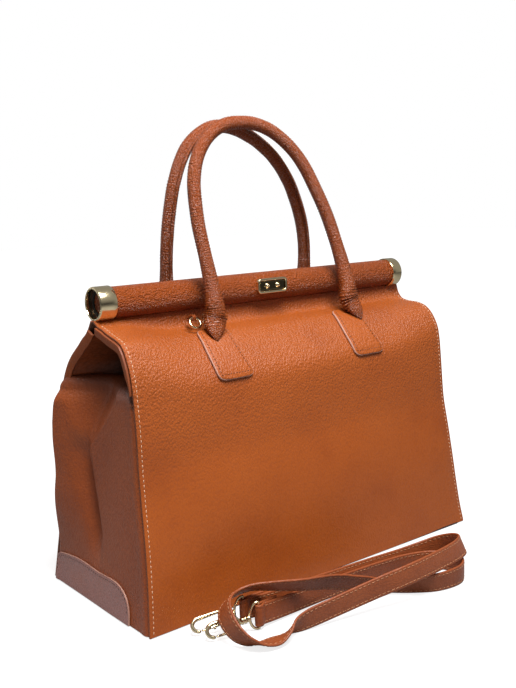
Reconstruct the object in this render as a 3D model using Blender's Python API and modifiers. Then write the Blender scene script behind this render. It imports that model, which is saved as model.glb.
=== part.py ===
# Leather handbag with a split closing tube, two rolled handles and a loose shoulder strap.
# Metres, +Z up. X runs along the tube, -Y is the front, and the origin is under the middle of the base.
import math

import bpy
import bmesh
from mathutils import Matrix, Vector

# Body of the bag
BASE_WIDTH = 0.378
BASE_DEPTH = 0.164
SHOULDER_WIDTH = 0.356
TAPER_HEIGHT = 0.170
TUBE_HEIGHT = 0.255
HINGE_HEIGHT = 0.186
LEATHER = 0.0020
SEAM_GAP = 0.0003
BASE_CORNER = 0.004
BOARD_THICKNESS = 0.0025
BOARD_CLEARANCE = 0.0040
PANEL_COLUMNS = 10
PANEL_ROWS = 9
FLAP_ROWS = 12

# Outer face of a long panel, from the base up to the tube, as shares of the half depth and the height
PANEL_SHARES = (
    (1.000, 0.000), (0.975, 0.055), (0.937, 0.135), (0.887, 0.273), (0.824, 0.407), (0.768, 0.533),
    (0.746, 0.646), (0.734, 0.721), (0.726, 0.767), (0.711, 0.814), (0.667, 0.860), (0.592, 0.895),
    (0.497, 0.918), (0.372, 0.931), (0.221, 0.939), (0.095, 0.952), (0.026, 0.973), (0.000, 1.000),
)

# Closing tube, split along its upright middle plane
TUBE_LENGTH = 0.341
COVER_RADIUS = 0.0132
COVER_LEATHER = 0.0015
CORE_WALL = 0.0022
HALF_SLIT = 0.0004
RING_LENGTH = 0.0100
RING_WALL = 0.0009
RING_LIP = 0.0012
RING_MOUTH_RADIUS = 0.0096
TUBE_SEGMENTS = 28
MAGNET_LENGTH = 0.024
MAGNET_PLACE_SHARE = 0.25

# Lock on the front of the tube
LOCK_WIDTH = 0.0340
LOCK_HEIGHT = 0.0136
LOCK_RIM = 0.0021
LOCK_PROUD = 0.0030
LOCK_CORNER = 0.0036
LOCK_POCKET = 0.0022
LOCK_TRAVEL = 0.0010
LOCK_RAISE = 0.0015
BUTTON_THICKNESS = 0.0008
STEM_RADIUS = 0.0019
STEM_LENGTH = 0.0070
STUD_RADIUS = 0.0021
STUD_SPACING = 0.0120
RUNNING_GAP = 0.0003

# Gusset at each end of the bag
GUSSET_LEATHER = 0.0016
GUSSET_PINCH = 0.012
GUSSET_COLUMNS = 8
GUSSET_ROWS = 7
FOLD_DEPTH = 0.046
FOLD_TOP_DROP = 0.031
FOLD_ROWS = 7
FOLD_COLUMNS = 4
FOLD_EDGE_GAP = 0.0012
BINDING_WIDTH = 0.0065
BINDING_LEATHER = 0.0022
BINDING_END = 0.014
PATCH_LEATHER = 0.0014
PATCH_HEIGHT = 0.031
PATCH_FRONT = 0.053
PATCH_BACK = 0.073
PATCH_CORNER = 0.011

# Handles and the tabs that carry them
HANDLE_SPREAD = 0.1560
HANDLE_RADIUS = 0.0060
HANDLE_RISE = 0.1720
HANDLE_TOP_OUT = 0.0072
HANDLE_SIDES = 10
TAB_WIDTH = 0.036
TAB_TOP_WIDTH = 0.029
TAB_LEATHER = 0.0018
TAB_CORNER = 0.007
TAB_COLUMNS = 6
TAB_TOP_SHARE = 0.350
TAB_FOOT_HEIGHT = 0.1895
HANDLE_FOOT_SHARE = 0.465

# Middle line of a handle from foot to foot: share of the spread from the middle, share of the rise
HANDLE_SHARES = (
    (-0.500, 0.000), (-0.500, 0.100), (-0.498, 0.200), (-0.503, 0.330), (-0.512, 0.450), (-0.520, 0.560),
    (-0.512, 0.670), (-0.478, 0.770), (-0.410, 0.870), (-0.300, 0.945), (-0.160, 0.990), (-0.020, 1.000),
    (0.110, 0.975), (0.220, 0.920), (0.310, 0.830), (0.375, 0.720), (0.420, 0.600), (0.460, 0.450),
    (0.485, 0.320), (0.500, 0.200), (0.502, 0.100), (0.500, 0.000),
)

# Small rings for the strap, one at each end
RING_WIRE_RADIUS = 0.0011
RING_RADIUS = 0.0052
RING_PLACE = 0.096
RING_PIN_OUT = 0.0185
RING_PIN_UNDER = 0.0185
RING_LEAN = 0.60
LOOP_WIDTH = 0.0034
LOOP_LEATHER = 0.0010

# Shoulder strap
STRAP_WIDTH = 0.0180
STRAP_THICKNESS = 0.0019
STRAP_END_LENGTH = 0.021
STRAP_STEPS = 120
ROUTE_SAMPLES = 40

# Snap hooks at the strap's ends
EYE_WIRE = 0.0011
EYE_CLEARANCE = 0.0009
EYE_REACH = 0.0078
EYE_HEAD_RADIUS = 0.0026
EYE_HEAD_LENGTH = 0.0032
BARREL_RADIUS = 0.0030
BARREL_LENGTH = 0.0062
HOOK_WIRE = 0.0015
HOOK_LENGTH = 0.0345
HOOK_WIDTH = 0.0136
GATE_WIRE = 0.0012
GATE_LENGTH = 0.0165

# Route of the strap's middle line, from end A to end B: x, y, height and lean from upright in degrees
STRAP_ROUTE = (
    (-0.1180, -0.1105, 0.0123, 0.0), (-0.1030, -0.1110, 0.0112, 0.0), (-0.0266, -0.1130, 0.0091, -9.0),
    (0.0188, -0.1160, 0.0091, -9.0), (0.0520, -0.1205, 0.0100, -6.0), (0.0730, -0.1265, 0.0132, 0.0),
    (0.0860, -0.1375, 0.0190, 9.0), (0.0900, -0.1520, 0.0245, 18.0), (0.0850, -0.1645, 0.0278, 22.0),
    (0.0690, -0.1722, 0.0284, 13.0), (0.0112, -0.1768, 0.0272, 3.0), (-0.0230, -0.1675, 0.0207, 0.0),
    (-0.0631, -0.1580, 0.0132, -4.0), (-0.0890, -0.1535, 0.0093, -10.0), (-0.1015, -0.1528, 0.0077, -30.0),
    (-0.1110, -0.1540, 0.0048, -60.0), (-0.1203, -0.1537, 0.0027, -80.0), (-0.1315, -0.1520, 0.0033, -72.0),
    (-0.1405, -0.1480, 0.0064, -46.0), (-0.1465, -0.1405, 0.0118, -14.0), (-0.1480, -0.1315, 0.0184, 14.0),
    (-0.1448, -0.1222, 0.0240, 33.0), (-0.1372, -0.1154, 0.0270, 40.0), (-0.1265, -0.1125, 0.0290, 48.0),
    (-0.1140, -0.1155, 0.0310, 52.0), (-0.0990, -0.1240, 0.0308, 46.0), (-0.0768, -0.1335, 0.0281, 38.0),
    (-0.0498, -0.1385, 0.0240, 31.0), (-0.0248, -0.1420, 0.0166, 28.0), (0.0005, -0.1500, 0.0096, 28.0),
    (0.0203, -0.1645, 0.0087, 22.0), (0.0423, -0.1765, 0.0091, 10.0), (0.0680, -0.1775, 0.0092, 2.0),
    (0.0808, -0.1675, 0.0092, 0.0), (0.0810, -0.1530, 0.0092, -2.0), (0.0720, -0.1405, 0.0092, -5.0),
    (0.0540, -0.1310, 0.0092, -8.0), (0.0178, -0.1250, 0.0092, -9.0), (-0.1000, -0.1256, 0.0112, 0.0),
    (-0.1150, -0.1265, 0.0123, 0.0),
)
# Way that each snap hook lies, from its eye
HOOK_A_WAY = (-0.950, 0.250, -0.125)
HOOK_B_WAY = (-0.955, 0.265, -0.125)

# Colours and finishes
TAN = (0.46, 0.14, 0.045)
TAN_DARK = (0.30, 0.085, 0.035)
EDGE = (0.10, 0.035, 0.025)
STRAP_BROWN = (0.34, 0.10, 0.040)
GOLD = (0.80, 0.66, 0.38)
STEEL = (0.35, 0.34, 0.33)
BOARD = (0.20, 0.18, 0.16)

FRONT = -1
BACK = 1
LEFT = -1
RIGHT = 1
SIDE_NAMES = {FRONT: "front", BACK: "back"}
END_NAMES = {LEFT: "left", RIGHT: "right"}

PANEL_BOTTOM = LEATHER + SEAM_GAP
PANEL_TOP = TUBE_HEIGHT - COVER_RADIUS - SEAM_GAP
PANEL_IN = HALF_SLIT + LEATHER
CORE_RADIUS = COVER_RADIUS - COVER_LEATHER - SEAM_GAP
CORE_BORE = CORE_RADIUS - CORE_WALL
RING_OUTER = COVER_RADIUS + SEAM_GAP + RING_WALL
RING_START = TUBE_LENGTH / 2 + SEAM_GAP - RING_LENGTH
RING_UNDER = TUBE_HEIGHT - RING_OUTER - SEAM_GAP
LOCK_Z = TUBE_HEIGHT + LOCK_RAISE


def clear_scene():
    for item in list(bpy.data.objects):
        bpy.data.objects.remove(item, do_unlink=True)


def collection(name):
    made = bpy.data.collections.new(name)
    bpy.context.scene.collection.children.link(made)
    return made


clear_scene()
PARTS = collection("handbag")
CUTTERS = collection("cutters")


def finish(name, colour, roughness, metallic=0.0):
    material = bpy.data.materials.new(name)
    material.use_nodes = True
    shader = material.node_tree.nodes["Principled BSDF"]
    shader.inputs["Base Color"].default_value = (*colour, 1.0)
    shader.inputs["Roughness"].default_value = roughness
    shader.inputs["Metallic"].default_value = metallic
    return material


def add_part(name, mesh, colour, roughness, metallic=0.0, parent=None):
    part = bpy.data.objects.new(name, mesh)
    mesh.materials.clear()
    mesh.materials.append(finish(name, colour, roughness, metallic))
    PARTS.objects.link(part)
    if parent is not None:
        part.parent = parent
        part.matrix_parent_inverse = Matrix.Translation(parent.location).inverted()
    return part


def pivot(name, place):
    marker = bpy.data.objects.new(name, None)
    marker.location = place
    marker.empty_display_size = COVER_RADIUS
    PARTS.objects.link(marker)
    return marker


def place_about(part, point):
    # Moves a part's origin onto its joint without moving its surface
    offset = Matrix.Translation(Vector(point))
    part.data.transform(offset.inverted())
    part.matrix_world = offset @ part.matrix_world


# Shape of the long panels

def smooth_point(table, along):
    # Catmull-Rom curve through a table of points, along runs from 0 to 1
    count = len(table) - 1
    scaled = min(max(along, 0.0), 1.0) * count
    index = min(int(scaled), count - 1)
    t = scaled - index
    before = table[max(index - 1, 0)]
    start = table[index]
    end = table[index + 1]
    after = table[min(index + 2, count)]
    return tuple(
        0.5 * (2 * b + (c - a) * t + (2 * a - 5 * b + 4 * c - d) * t * t + (3 * b - a - 3 * c + d) * t ** 3)
        for a, b, c, d in zip(before, start, end, after)
    )


def panel_point(along):
    # Distance out from the middle plane and height of the panel's outer face
    out_share, height_share = smooth_point(PANEL_SHARES, along)
    out = PANEL_IN + out_share * (BASE_DEPTH / 2 - PANEL_IN)
    return out, PANEL_BOTTOM + height_share * (PANEL_TOP - PANEL_BOTTOM)


def panel_normal(along):
    step = 0.002
    low = panel_point(max(along - step, 0.0))
    high = panel_point(min(along + step, 1.0))
    slope = Vector((high[0] - low[0], high[1] - low[1])).normalized()
    return Vector((slope.y, -slope.x))


def panel_offset(along, distance):
    # Point on the panel's section, moved out of its outer face by a distance
    out, height = panel_point(along)
    normal = panel_normal(along)
    return out + normal.x * distance, height + normal.y * distance


def along_where(test):
    # First place along the panel's section where the test holds
    low, high = 0.0, 1.0
    for _ in range(40):
        middle = (low + high) / 2
        if test(*panel_point(middle)):
            high = middle
        else:
            low = middle
    return high


def along_at_height(height):
    return along_where(lambda out, z: z >= height)


def along_at_out_share(share):
    limit = PANEL_IN + share * (BASE_DEPTH / 2 - PANEL_IN)
    return along_where(lambda out, z: out <= limit)


def half_width(height):
    rest = max(0.0, 1.0 - height / TAPER_HEIGHT)
    return SHOULDER_WIDTH / 2 + (BASE_WIDTH - SHOULDER_WIDTH) / 2 * rest * rest


def inner_out(height, extra=0.0):
    # Distance from the middle plane to the panel's inner face at a height, less a clearance
    along = along_at_height(height)
    normal = panel_normal(along)
    return panel_point(along)[0] - LEATHER / max(normal.x, 0.5) - extra


def steps(start, end, count):
    return [start + (end - start) * index / count for index in range(count + 1)]


# Mesh helpers

def sheet(name, rows, flip):
    # Open surface from rows of points
    mesh = bpy.data.meshes.new(name)
    width = len(rows[0])
    points = [point for row in rows for point in row]
    faces = []
    for row in range(len(rows) - 1):
        for column in range(width - 1):
            corner = row * width + column
            quad = (corner, corner + 1, corner + width + 1, corner + width)
            faces.append(quad[::-1] if flip else quad)
    mesh.from_pydata(points, [], faces)
    mesh.update()
    return mesh


def thicken(part, thickness, offset=-1.0):
    wall = part.modifiers.new("wall", "SOLIDIFY")
    wall.thickness = thickness
    wall.offset = offset
    wall.use_even_offset = True
    return wall


def soften(part, width, angle=40.0, segments=1):
    edge = part.modifiers.new("edge", "BEVEL")
    edge.width = width
    edge.segments = segments
    edge.limit_method = "ANGLE"
    edge.angle_limit = math.radians(angle)
    return edge


def smooth_round(mesh, angle=35.0):
    mesh.shade_smooth()
    mesh.set_sharp_from_angle(angle=math.radians(angle))


def outline_solid(name, points, thickness, holes=()):
    # Flat outline in its own XY plane, extruded evenly to both sides of it
    curve = bpy.data.curves.new(name, "CURVE")
    curve.dimensions = "2D"
    curve.fill_mode = "BOTH"
    curve.extrude = thickness / 2
    for loop in (points, *holes):
        spline = curve.splines.new("POLY")
        spline.points.add(len(loop) - 1)
        for point, place in zip(spline.points, loop):
            point.co = (place[0], place[1], 0.0, 1.0)
        spline.use_cyclic_u = True
    return mesh_of(curve, name)


def tube_solid(name, points, radius, sides, cyclic=False):
    # Round bar along a line of points
    curve = bpy.data.curves.new(name, "CURVE")
    curve.dimensions = "3D"
    curve.bevel_depth = radius
    curve.bevel_resolution = max(sides // 2 - 2, 0)
    curve.use_fill_caps = True
    curve.twist_mode = "MINIMUM"
    spline = curve.splines.new("POLY")
    spline.points.add(len(points) - 1)
    for point, place in zip(spline.points, points):
        point.co = (*place, 1.0)
    spline.use_cyclic_u = cyclic
    return mesh_of(curve, name)


def mesh_of(curve, name):
    # Turns a curve into a closed mesh and removes the curve
    holder = bpy.data.objects.new(name + "_curve", curve)
    bpy.context.scene.collection.objects.link(holder)
    bpy.context.view_layer.update()
    graph = bpy.context.evaluated_depsgraph_get()
    mesh = bpy.data.meshes.new_from_object(holder.evaluated_get(graph))
    mesh.name = name
    bpy.data.objects.remove(holder, do_unlink=True)
    bpy.data.curves.remove(curve)
    work = bmesh.new()
    work.from_mesh(mesh)
    bmesh.ops.remove_doubles(work, verts=work.verts, dist=0.00001)
    bmesh.ops.recalc_face_normals(work, faces=work.faces)
    work.to_mesh(mesh)
    work.free()
    return mesh


def cylinder_mesh(name, radius, length, segments):
    # Cylinder along its own Z, centred on the origin
    mesh = bpy.data.meshes.new(name)
    work = bmesh.new()
    bmesh.ops.create_cone(work, cap_ends=True, segments=segments, radius1=radius, radius2=radius, depth=length)
    work.to_mesh(mesh)
    work.free()
    return mesh


def box_mesh(name, low, high):
    mesh = bpy.data.meshes.new(name)
    work = bmesh.new()
    bmesh.ops.create_cube(work, size=1.0)
    size = [b - a for a, b in zip(low, high)]
    middle = [(a + b) / 2 for a, b in zip(low, high)]
    bmesh.ops.scale(work, vec=size, verts=work.verts)
    bmesh.ops.translate(work, vec=middle, verts=work.verts)
    work.to_mesh(mesh)
    work.free()
    return mesh


def ball_mesh(name, radius, centre, segments=10, rings=8):
    mesh = bpy.data.meshes.new(name)
    work = bmesh.new()
    bmesh.ops.create_uvsphere(work, u_segments=segments, v_segments=rings, radius=radius)
    bmesh.ops.translate(work, vec=centre, verts=work.verts)
    work.to_mesh(mesh)
    work.free()
    return mesh


def turned_mesh(name, profile, segments):
    # Closed profile of (radius, distance along the axis) pairs, turned about its own Z axis
    mesh = bpy.data.meshes.new(name)
    count = len(profile)
    mesh.from_pydata([(radius, 0.0, z) for radius, z in profile], [(i, (i + 1) % count) for i in range(count)], [])
    holder = bpy.data.objects.new(name + "_turned", mesh)
    bpy.context.scene.collection.objects.link(holder)
    turn = holder.modifiers.new("turn", "SCREW")
    turn.axis = "Z"
    turn.steps = segments
    turn.render_steps = segments
    turn.merge_threshold = 0.00001
    turn.use_merge_vertices = True
    bpy.context.view_layer.update()
    graph = bpy.context.evaluated_depsgraph_get()
    made = bpy.data.meshes.new_from_object(holder.evaluated_get(graph))
    bpy.data.objects.remove(holder, do_unlink=True)
    work = bmesh.new()
    work.from_mesh(made)
    bmesh.ops.remove_doubles(work, verts=work.verts, dist=0.00001)
    bmesh.ops.recalc_face_normals(work, faces=work.faces)
    work.to_mesh(made)
    work.free()
    return made


def cutter(name, mesh, matrix=None):
    tool = bpy.data.objects.new(name, mesh)
    if matrix is not None:
        tool.matrix_world = matrix
    tool.hide_render = True
    tool.display_type = "WIRE"
    CUTTERS.objects.link(tool)
    return tool


def cut(part, tool, operation="DIFFERENCE"):
    step = part.modifiers.new(operation.lower(), "BOOLEAN")
    step.operation = operation
    step.object = tool
    step.solver = "EXACT"
    return step


def half_ring_points(outer, inner, side, segments=TUBE_SEGMENTS // 2):
    # Half of a ring's section, on one side of the slit, in (y, z) about the tube's axis
    points = []
    for radius, order in ((outer, 1), (inner, -1)):
        limit = math.asin(HALF_SLIT / radius)
        arc = []
        for angle in steps(-math.pi / 2 + limit, math.pi / 2 - limit, segments)[::order]:
            arc.append((side * math.cos(angle) * radius, math.sin(angle) * radius))
        points.extend(arc)
    return points


def along_x(section_mesh, place_x=0.0, place_z=TUBE_HEIGHT):
    # Turns a section drawn in its own XY plane so that it runs along X: own X is Y, own Y is Z
    turn = Matrix(((0, 0, 1, place_x), (1, 0, 0, 0), (0, 1, 0, place_z), (0, 0, 0, 1)))
    section_mesh.transform(turn)
    return section_mesh


# Base

def make_base():
    low = (-BASE_WIDTH / 2, -BASE_DEPTH / 2, 0.0)
    high = (BASE_WIDTH / 2, BASE_DEPTH / 2, LEATHER)
    corners = []
    for sign_x, sign_y, first in ((1, 1, 0), (-1, 1, 1), (-1, -1, 2), (1, -1, 3)):
        for angle in steps(first * math.pi / 2, (first + 1) * math.pi / 2, 4):
            corners.append((
                sign_x * (high[0] - BASE_CORNER) + BASE_CORNER * math.cos(angle),
                sign_y * (high[1] - BASE_CORNER) + BASE_CORNER * math.sin(angle),
            ))
    mesh = outline_solid("base_panel", corners, LEATHER)
    mesh.transform(Matrix.Translation((0.0, 0.0, LEATHER / 2)))
    add_part("base_panel", mesh, TAN_DARK, 0.5)

    reach_x = half_width(0.0) - LEATHER - BOARD_CLEARANCE
    reach_y = inner_out(PANEL_BOTTOM + BOARD_THICKNESS, BOARD_CLEARANCE)
    board = box_mesh(
        "base_board", (-reach_x, -reach_y, PANEL_BOTTOM), (reach_x, reach_y, PANEL_BOTTOM + BOARD_THICKNESS)
    )
    add_part("base_board", board, BOARD, 0.9)
    return low


# Long panels, below and above the bend at the shoulder

def panel_rows(start, end, count):
    # The top edge drops a little where it passes under the end rings
    rows = []
    near = RING_START - SEAM_GAP
    full = near - LEATHER
    for along in steps(start, end, count):
        out, height = panel_point(along)
        reach = half_width(height)
        row = [(x, out, min(height, RING_UNDER)) for x in (-reach, -near)]
        row += [(x, out, height) for x in steps(-full, full, PANEL_COLUMNS)]
        row += [(x, out, min(height, RING_UNDER)) for x in (near, reach)]
        rows.append(row)
    return rows


def mirrored(rows, side):
    return [[(x, side * out, z) for x, out, z in row] for row in rows]


HINGE_ALONG = along_at_height(HINGE_HEIGHT)
HINGE_OUT = panel_point(HINGE_ALONG)[0]
LOWER_END = along_at_height(HINGE_HEIGHT - SEAM_GAP / 2)
FLAP_START = along_at_height(HINGE_HEIGHT + SEAM_GAP / 2)
FLAP_ALONGS = steps(FLAP_START, 1.0, FLAP_ROWS)


def make_panel(side):
    name = SIDE_NAMES[side] + "_panel"
    rows = mirrored(panel_rows(0.0, LOWER_END, PANEL_ROWS), side)
    part = add_part(name, sheet(name, rows, side == BACK), TAN, 0.45)
    thicken(part, LEATHER)


def make_flap_panel(side, hinge):
    name = SIDE_NAMES[side] + "_flap_panel"
    rows = mirrored(panel_rows(FLAP_START, 1.0, FLAP_ROWS), side)
    part = add_part(name, sheet(name, rows, side == BACK), TAN, 0.45, parent=hinge)
    thicken(part, LEATHER)


# Tube halves, their covers, end rings and magnets

def make_tube_half(side, hinge):
    label = SIDE_NAMES[side]
    for name, outer, inner, colour, metal in (
        (label + "_tube_core", CORE_RADIUS, CORE_BORE, STEEL, 0.9),
        (label + "_tube_cover", COVER_RADIUS, CORE_RADIUS + SEAM_GAP, TAN, 0.0),
    ):
        mesh = along_x(outline_solid(name, half_ring_points(outer, inner, side), TUBE_LENGTH))
        smooth_round(mesh)
        part = add_part(name, mesh, colour, 0.45, metal, parent=hinge)
        if side == FRONT:
            cut(part, lock_cutter())
    for end in (LEFT, RIGHT):
        name = f"{label}_{END_NAMES[end]}_magnet"
        section = half_ring_points(CORE_BORE - SEAM_GAP, HALF_SLIT * 2, side)
        mesh = along_x(outline_solid(name, section, MAGNET_LENGTH), end * TUBE_LENGTH * MAGNET_PLACE_SHARE)
        add_part(name, mesh, STEEL, 0.4, 0.9, parent=hinge)


def lock_cutter():
    mesh = cylinder_mesh("lock_hole", STEM_RADIUS + RUNNING_GAP, COVER_RADIUS * 2, 16)
    turn = Matrix.Translation((0.0, -COVER_RADIUS, LOCK_Z)) @ Matrix.Rotation(math.pi / 2, 4, "X")
    return cutter("lock_hole", mesh, turn)


def make_end_ring(side, end, hinge):
    # A half cap: a band round the cover and a lip over the tube's end with a round mouth
    name = f"{SIDE_NAMES[side]}_{END_NAMES[end]}_end_ring"
    inner = COVER_RADIUS + SEAM_GAP
    outer = inner + RING_WALL
    face = TUBE_LENGTH / 2 + SEAM_GAP
    edge = RING_WALL / 2
    profile = (
        (outer, face - RING_LENGTH), (outer, face + RING_LIP - edge), (outer - edge, face + RING_LIP),
        (RING_MOUTH_RADIUS + edge, face + RING_LIP), (RING_MOUTH_RADIUS, face + RING_LIP - edge),
        (RING_MOUTH_RADIUS, face), (inner, face), (inner, face - RING_LENGTH),
    )
    mesh = turned_mesh(name, profile, TUBE_SEGMENTS)
    turn = Matrix.Translation((0.0, 0.0, TUBE_HEIGHT)) @ Matrix.Rotation(end * math.pi / 2, 4, "Y")
    mesh.transform(turn)
    smooth_round(mesh)
    part = add_part(name, mesh, GOLD, 0.2, 1.0, parent=hinge)
    reach = outer * 2
    near, far = sorted((side * HALF_SLIT, side * reach))
    span = sorted((end * (face - RING_LENGTH * 2), end * (face + RING_LENGTH)))
    block = box_mesh(
        name + "_half", (span[0], near, TUBE_HEIGHT - reach), (span[1], far, TUBE_HEIGHT + reach)
    )
    cut(part, cutter(name + "_half", block), "INTERSECT")


# Lock

def rounded_outline(width, height, corner, arc_steps=4):
    points = []
    for sign_x, sign_y, first in ((1, 1, 0), (-1, 1, 1), (-1, -1, 2), (1, -1, 3)):
        for angle in steps(first * math.pi / 2, (first + 1) * math.pi / 2, arc_steps):
            points.append((
                sign_x * (width / 2 - corner) + corner * math.cos(angle),
                sign_y * (height / 2 - corner) + corner * math.sin(angle),
            ))
    return points


def facing_front(mesh, place_y):
    # Own Z becomes -Y and own Y becomes +Z, with own origin at the lock's height
    mesh.transform(Matrix(((1, 0, 0, 0), (0, 0, -1, place_y), (0, 1, 0, LOCK_Z), (0, 0, 0, 1))))
    return mesh


def make_lock(hinge, press):
    front = -(COVER_RADIUS + LOCK_PROUD)
    depth = LOCK_PROUD + LOCK_CORNER
    mesh = facing_front(
        outline_solid("lock_frame", rounded_outline(LOCK_WIDTH, LOCK_HEIGHT, LOCK_CORNER), depth), front + depth / 2
    )
    frame = add_part("lock_frame", mesh, GOLD, 0.2, 1.0, parent=hinge)
    inner_width = LOCK_WIDTH - LOCK_RIM * 2
    inner_height = LOCK_HEIGHT - LOCK_RIM * 2
    inner_corner = LOCK_CORNER - LOCK_RIM / 2
    pocket = facing_front(
        outline_solid("lock_pocket", rounded_outline(inner_width, inner_height, inner_corner), LOCK_POCKET * 2), front
    )
    cut(frame, cutter("lock_pocket", pocket))
    seat = cylinder_mesh("lock_seat", COVER_RADIUS + SEAM_GAP, LOCK_WIDTH * 2, 64)
    turn = Matrix.Translation((0.0, 0.0, TUBE_HEIGHT)) @ Matrix.Rotation(math.pi / 2, 4, "Y")
    cut(frame, cutter("lock_seat", seat, turn))
    cut(frame, lock_cutter())

    face = front + LOCK_POCKET - BUTTON_THICKNESS - LOCK_TRAVEL - RUNNING_GAP
    outline = rounded_outline(
        inner_width - RUNNING_GAP * 2, inner_height - RUNNING_GAP * 2, inner_corner - RUNNING_GAP
    )
    plate = facing_front(outline_solid("lock_button", outline, BUTTON_THICKNESS), face + BUTTON_THICKNESS / 2)
    button = add_part("lock_button", plate, GOLD, 0.25, 1.0, parent=press)
    stem = cylinder_mesh("lock_stem", STEM_RADIUS, STEM_LENGTH, 16)
    place = Matrix.Translation((0.0, face + BUTTON_THICKNESS / 2 + STEM_LENGTH / 2, LOCK_Z))
    cut(button, cutter("lock_stem", stem, place @ Matrix.Rotation(math.pi / 2, 4, "X")), "UNION")

    for sign in (LEFT, RIGHT):
        name = END_NAMES[sign] + "_lock_stud"
        dome = ball_mesh(name, STUD_RADIUS, (0.0, 0.0, 0.0), 14, 8)
        work = bmesh.new()
        work.from_mesh(dome)
        everything = work.verts[:] + work.edges[:] + work.faces[:]
        cut_here = bmesh.ops.bisect_plane(
            work, geom=everything, plane_co=(0, -RUNNING_GAP, 0), plane_no=(0, 1, 0), clear_outer=True
        )
        rim = [item for item in cut_here["geom_cut"] if isinstance(item, bmesh.types.BMEdge)]
        bmesh.ops.contextual_create(work, geom=rim)
        bmesh.ops.recalc_face_normals(work, faces=work.faces)
        bmesh.ops.translate(work, vec=(sign * STUD_SPACING / 2, face, LOCK_Z), verts=work.verts)
        work.to_mesh(dome)
        work.free()
        smooth_round(dome)
        add_part(name, dome, GOLD, 0.15, 1.0, parent=press)


# Gussets, their folds, bound edges and patches

def pinch(out, height):
    # How far the gusset is drawn in, most at the top middle
    rise = min(max(height / HINGE_HEIGHT, 0.0), 1.0)
    reach = inner_out(height, SEAM_GAP)
    return GUSSET_PINCH * rise * rise * max(0.0, 1.0 - abs(out) / reach)


def gusset_x(end, out, height):
    return end * (half_width(height) - pinch(out, height))


def make_gusset(end):
    name = END_NAMES[end] + "_gusset"
    rows = []
    for height in steps(PANEL_BOTTOM, HINGE_HEIGHT - SEAM_GAP / 2, GUSSET_ROWS):
        reach = inner_out(height, SEAM_GAP)
        rows.append([(gusset_x(end, y, height), y, height) for y in steps(-reach, reach, GUSSET_COLUMNS)])
    part = add_part(name, sheet(name, rows, end == LEFT), TAN, 0.4)
    thicken(part, GUSSET_LEATHER)


def patch_top(y):
    # Height of the patch's top edge, rounded at its two ends
    inside = min(y + PATCH_FRONT, PATCH_BACK - y)
    if inside >= PATCH_CORNER:
        return PATCH_HEIGHT
    short = PATCH_CORNER - max(inside, 0.0)
    return PATCH_HEIGHT - PATCH_CORNER + math.sqrt(max(PATCH_CORNER ** 2 - short ** 2, 0.0))


def make_patch(end):
    name = END_NAMES[end] + "_gusset_patch"
    columns = []
    spots = steps(-PATCH_FRONT, -PATCH_FRONT + PATCH_CORNER, 4)
    spots += steps(-PATCH_FRONT + PATCH_CORNER, PATCH_BACK - PATCH_CORNER, 5)[1:-1]
    spots += steps(PATCH_BACK - PATCH_CORNER, PATCH_BACK, 4)
    for y in spots:
        top = patch_top(y)
        columns.append([
            (gusset_x(end, y, z) + end * (SEAM_GAP + PATCH_LEATHER), y, z) for z in steps(PANEL_BOTTOM, top, 3)
        ])
    part = add_part(name, sheet(name, columns, end == RIGHT), TAN_DARK, 0.35)
    thicken(part, PATCH_LEATHER)


BINDING_STOP = along_where(lambda out, z: out <= BINDING_END and z > HINGE_HEIGHT)


def make_binding(side, end, hinge):
    # Strip inside the flap panel's side edge, seen edge on from the end of the bag
    name = f"{SIDE_NAMES[side]}_{END_NAMES[end]}_binding"
    rows = []
    for along in steps(FLAP_START, BINDING_STOP, 9):
        row = []
        for depth in (LEATHER + SEAM_GAP, LEATHER + SEAM_GAP + BINDING_WIDTH):
            out, height = panel_offset(along, -depth)
            row.append((end * half_width(height), side * out, max(height, HINGE_HEIGHT + SEAM_GAP / 2)))
        rows.append(row)
    part = add_part(name, sheet(name, rows, side * end > 0), TAN_DARK, 0.5, parent=hinge)
    thicken(part, BINDING_LEATHER)


def make_fold(side, end):
    # Half of the gusset's upper fold, from the bound edge inward to the crease
    name = f"{SIDE_NAMES[side]}_{END_NAMES[end]}_gusset_fold"
    depth = LEATHER + SEAM_GAP + BINDING_WIDTH + FOLD_EDGE_GAP
    low = HINGE_HEIGHT + GUSSET_LEATHER
    top = TUBE_HEIGHT - FOLD_TOP_DROP
    rows = []
    for index, along in enumerate(steps(FLAP_START, BINDING_STOP, FOLD_ROWS)):
        t = index / FOLD_ROWS
        out, height = panel_offset(along, -depth)
        edge = Vector((half_width(height) - BINDING_LEATHER, out, max(height, low)))
        draw = GUSSET_PINCH + (FOLD_DEPTH - GUSSET_PINCH) * math.sin(t * math.pi / 2)
        crease = Vector((half_width(low) - draw, HALF_SLIT + GUSSET_LEATHER, low + (top - low) * t))
        row = []
        for s in steps(0.0, 1.0, FOLD_COLUMNS):
            point = edge.lerp(crease, s)
            row.append((end * point.x, side * point.y, point.z))
        rows.append(row)
    part = add_part(name, sheet(name, rows, side * end > 0), TAN_DARK, 0.45)
    thicken(part, GUSSET_LEATHER)


# Handles and tabs

TAB_START = along_at_height(TAB_FOOT_HEIGHT)
TAB_END = along_where(lambda out, z: out <= BASE_DEPTH / 2 * TAB_TOP_SHARE)
FOOT_ALONG = along_where(lambda out, z: out <= BASE_DEPTH / 2 * HANDLE_FOOT_SHARE)
FOOT_OUT, FOOT_HEIGHT = panel_offset(FOOT_ALONG, SEAM_GAP * 2 + TAB_LEATHER + HANDLE_RADIUS)


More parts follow.
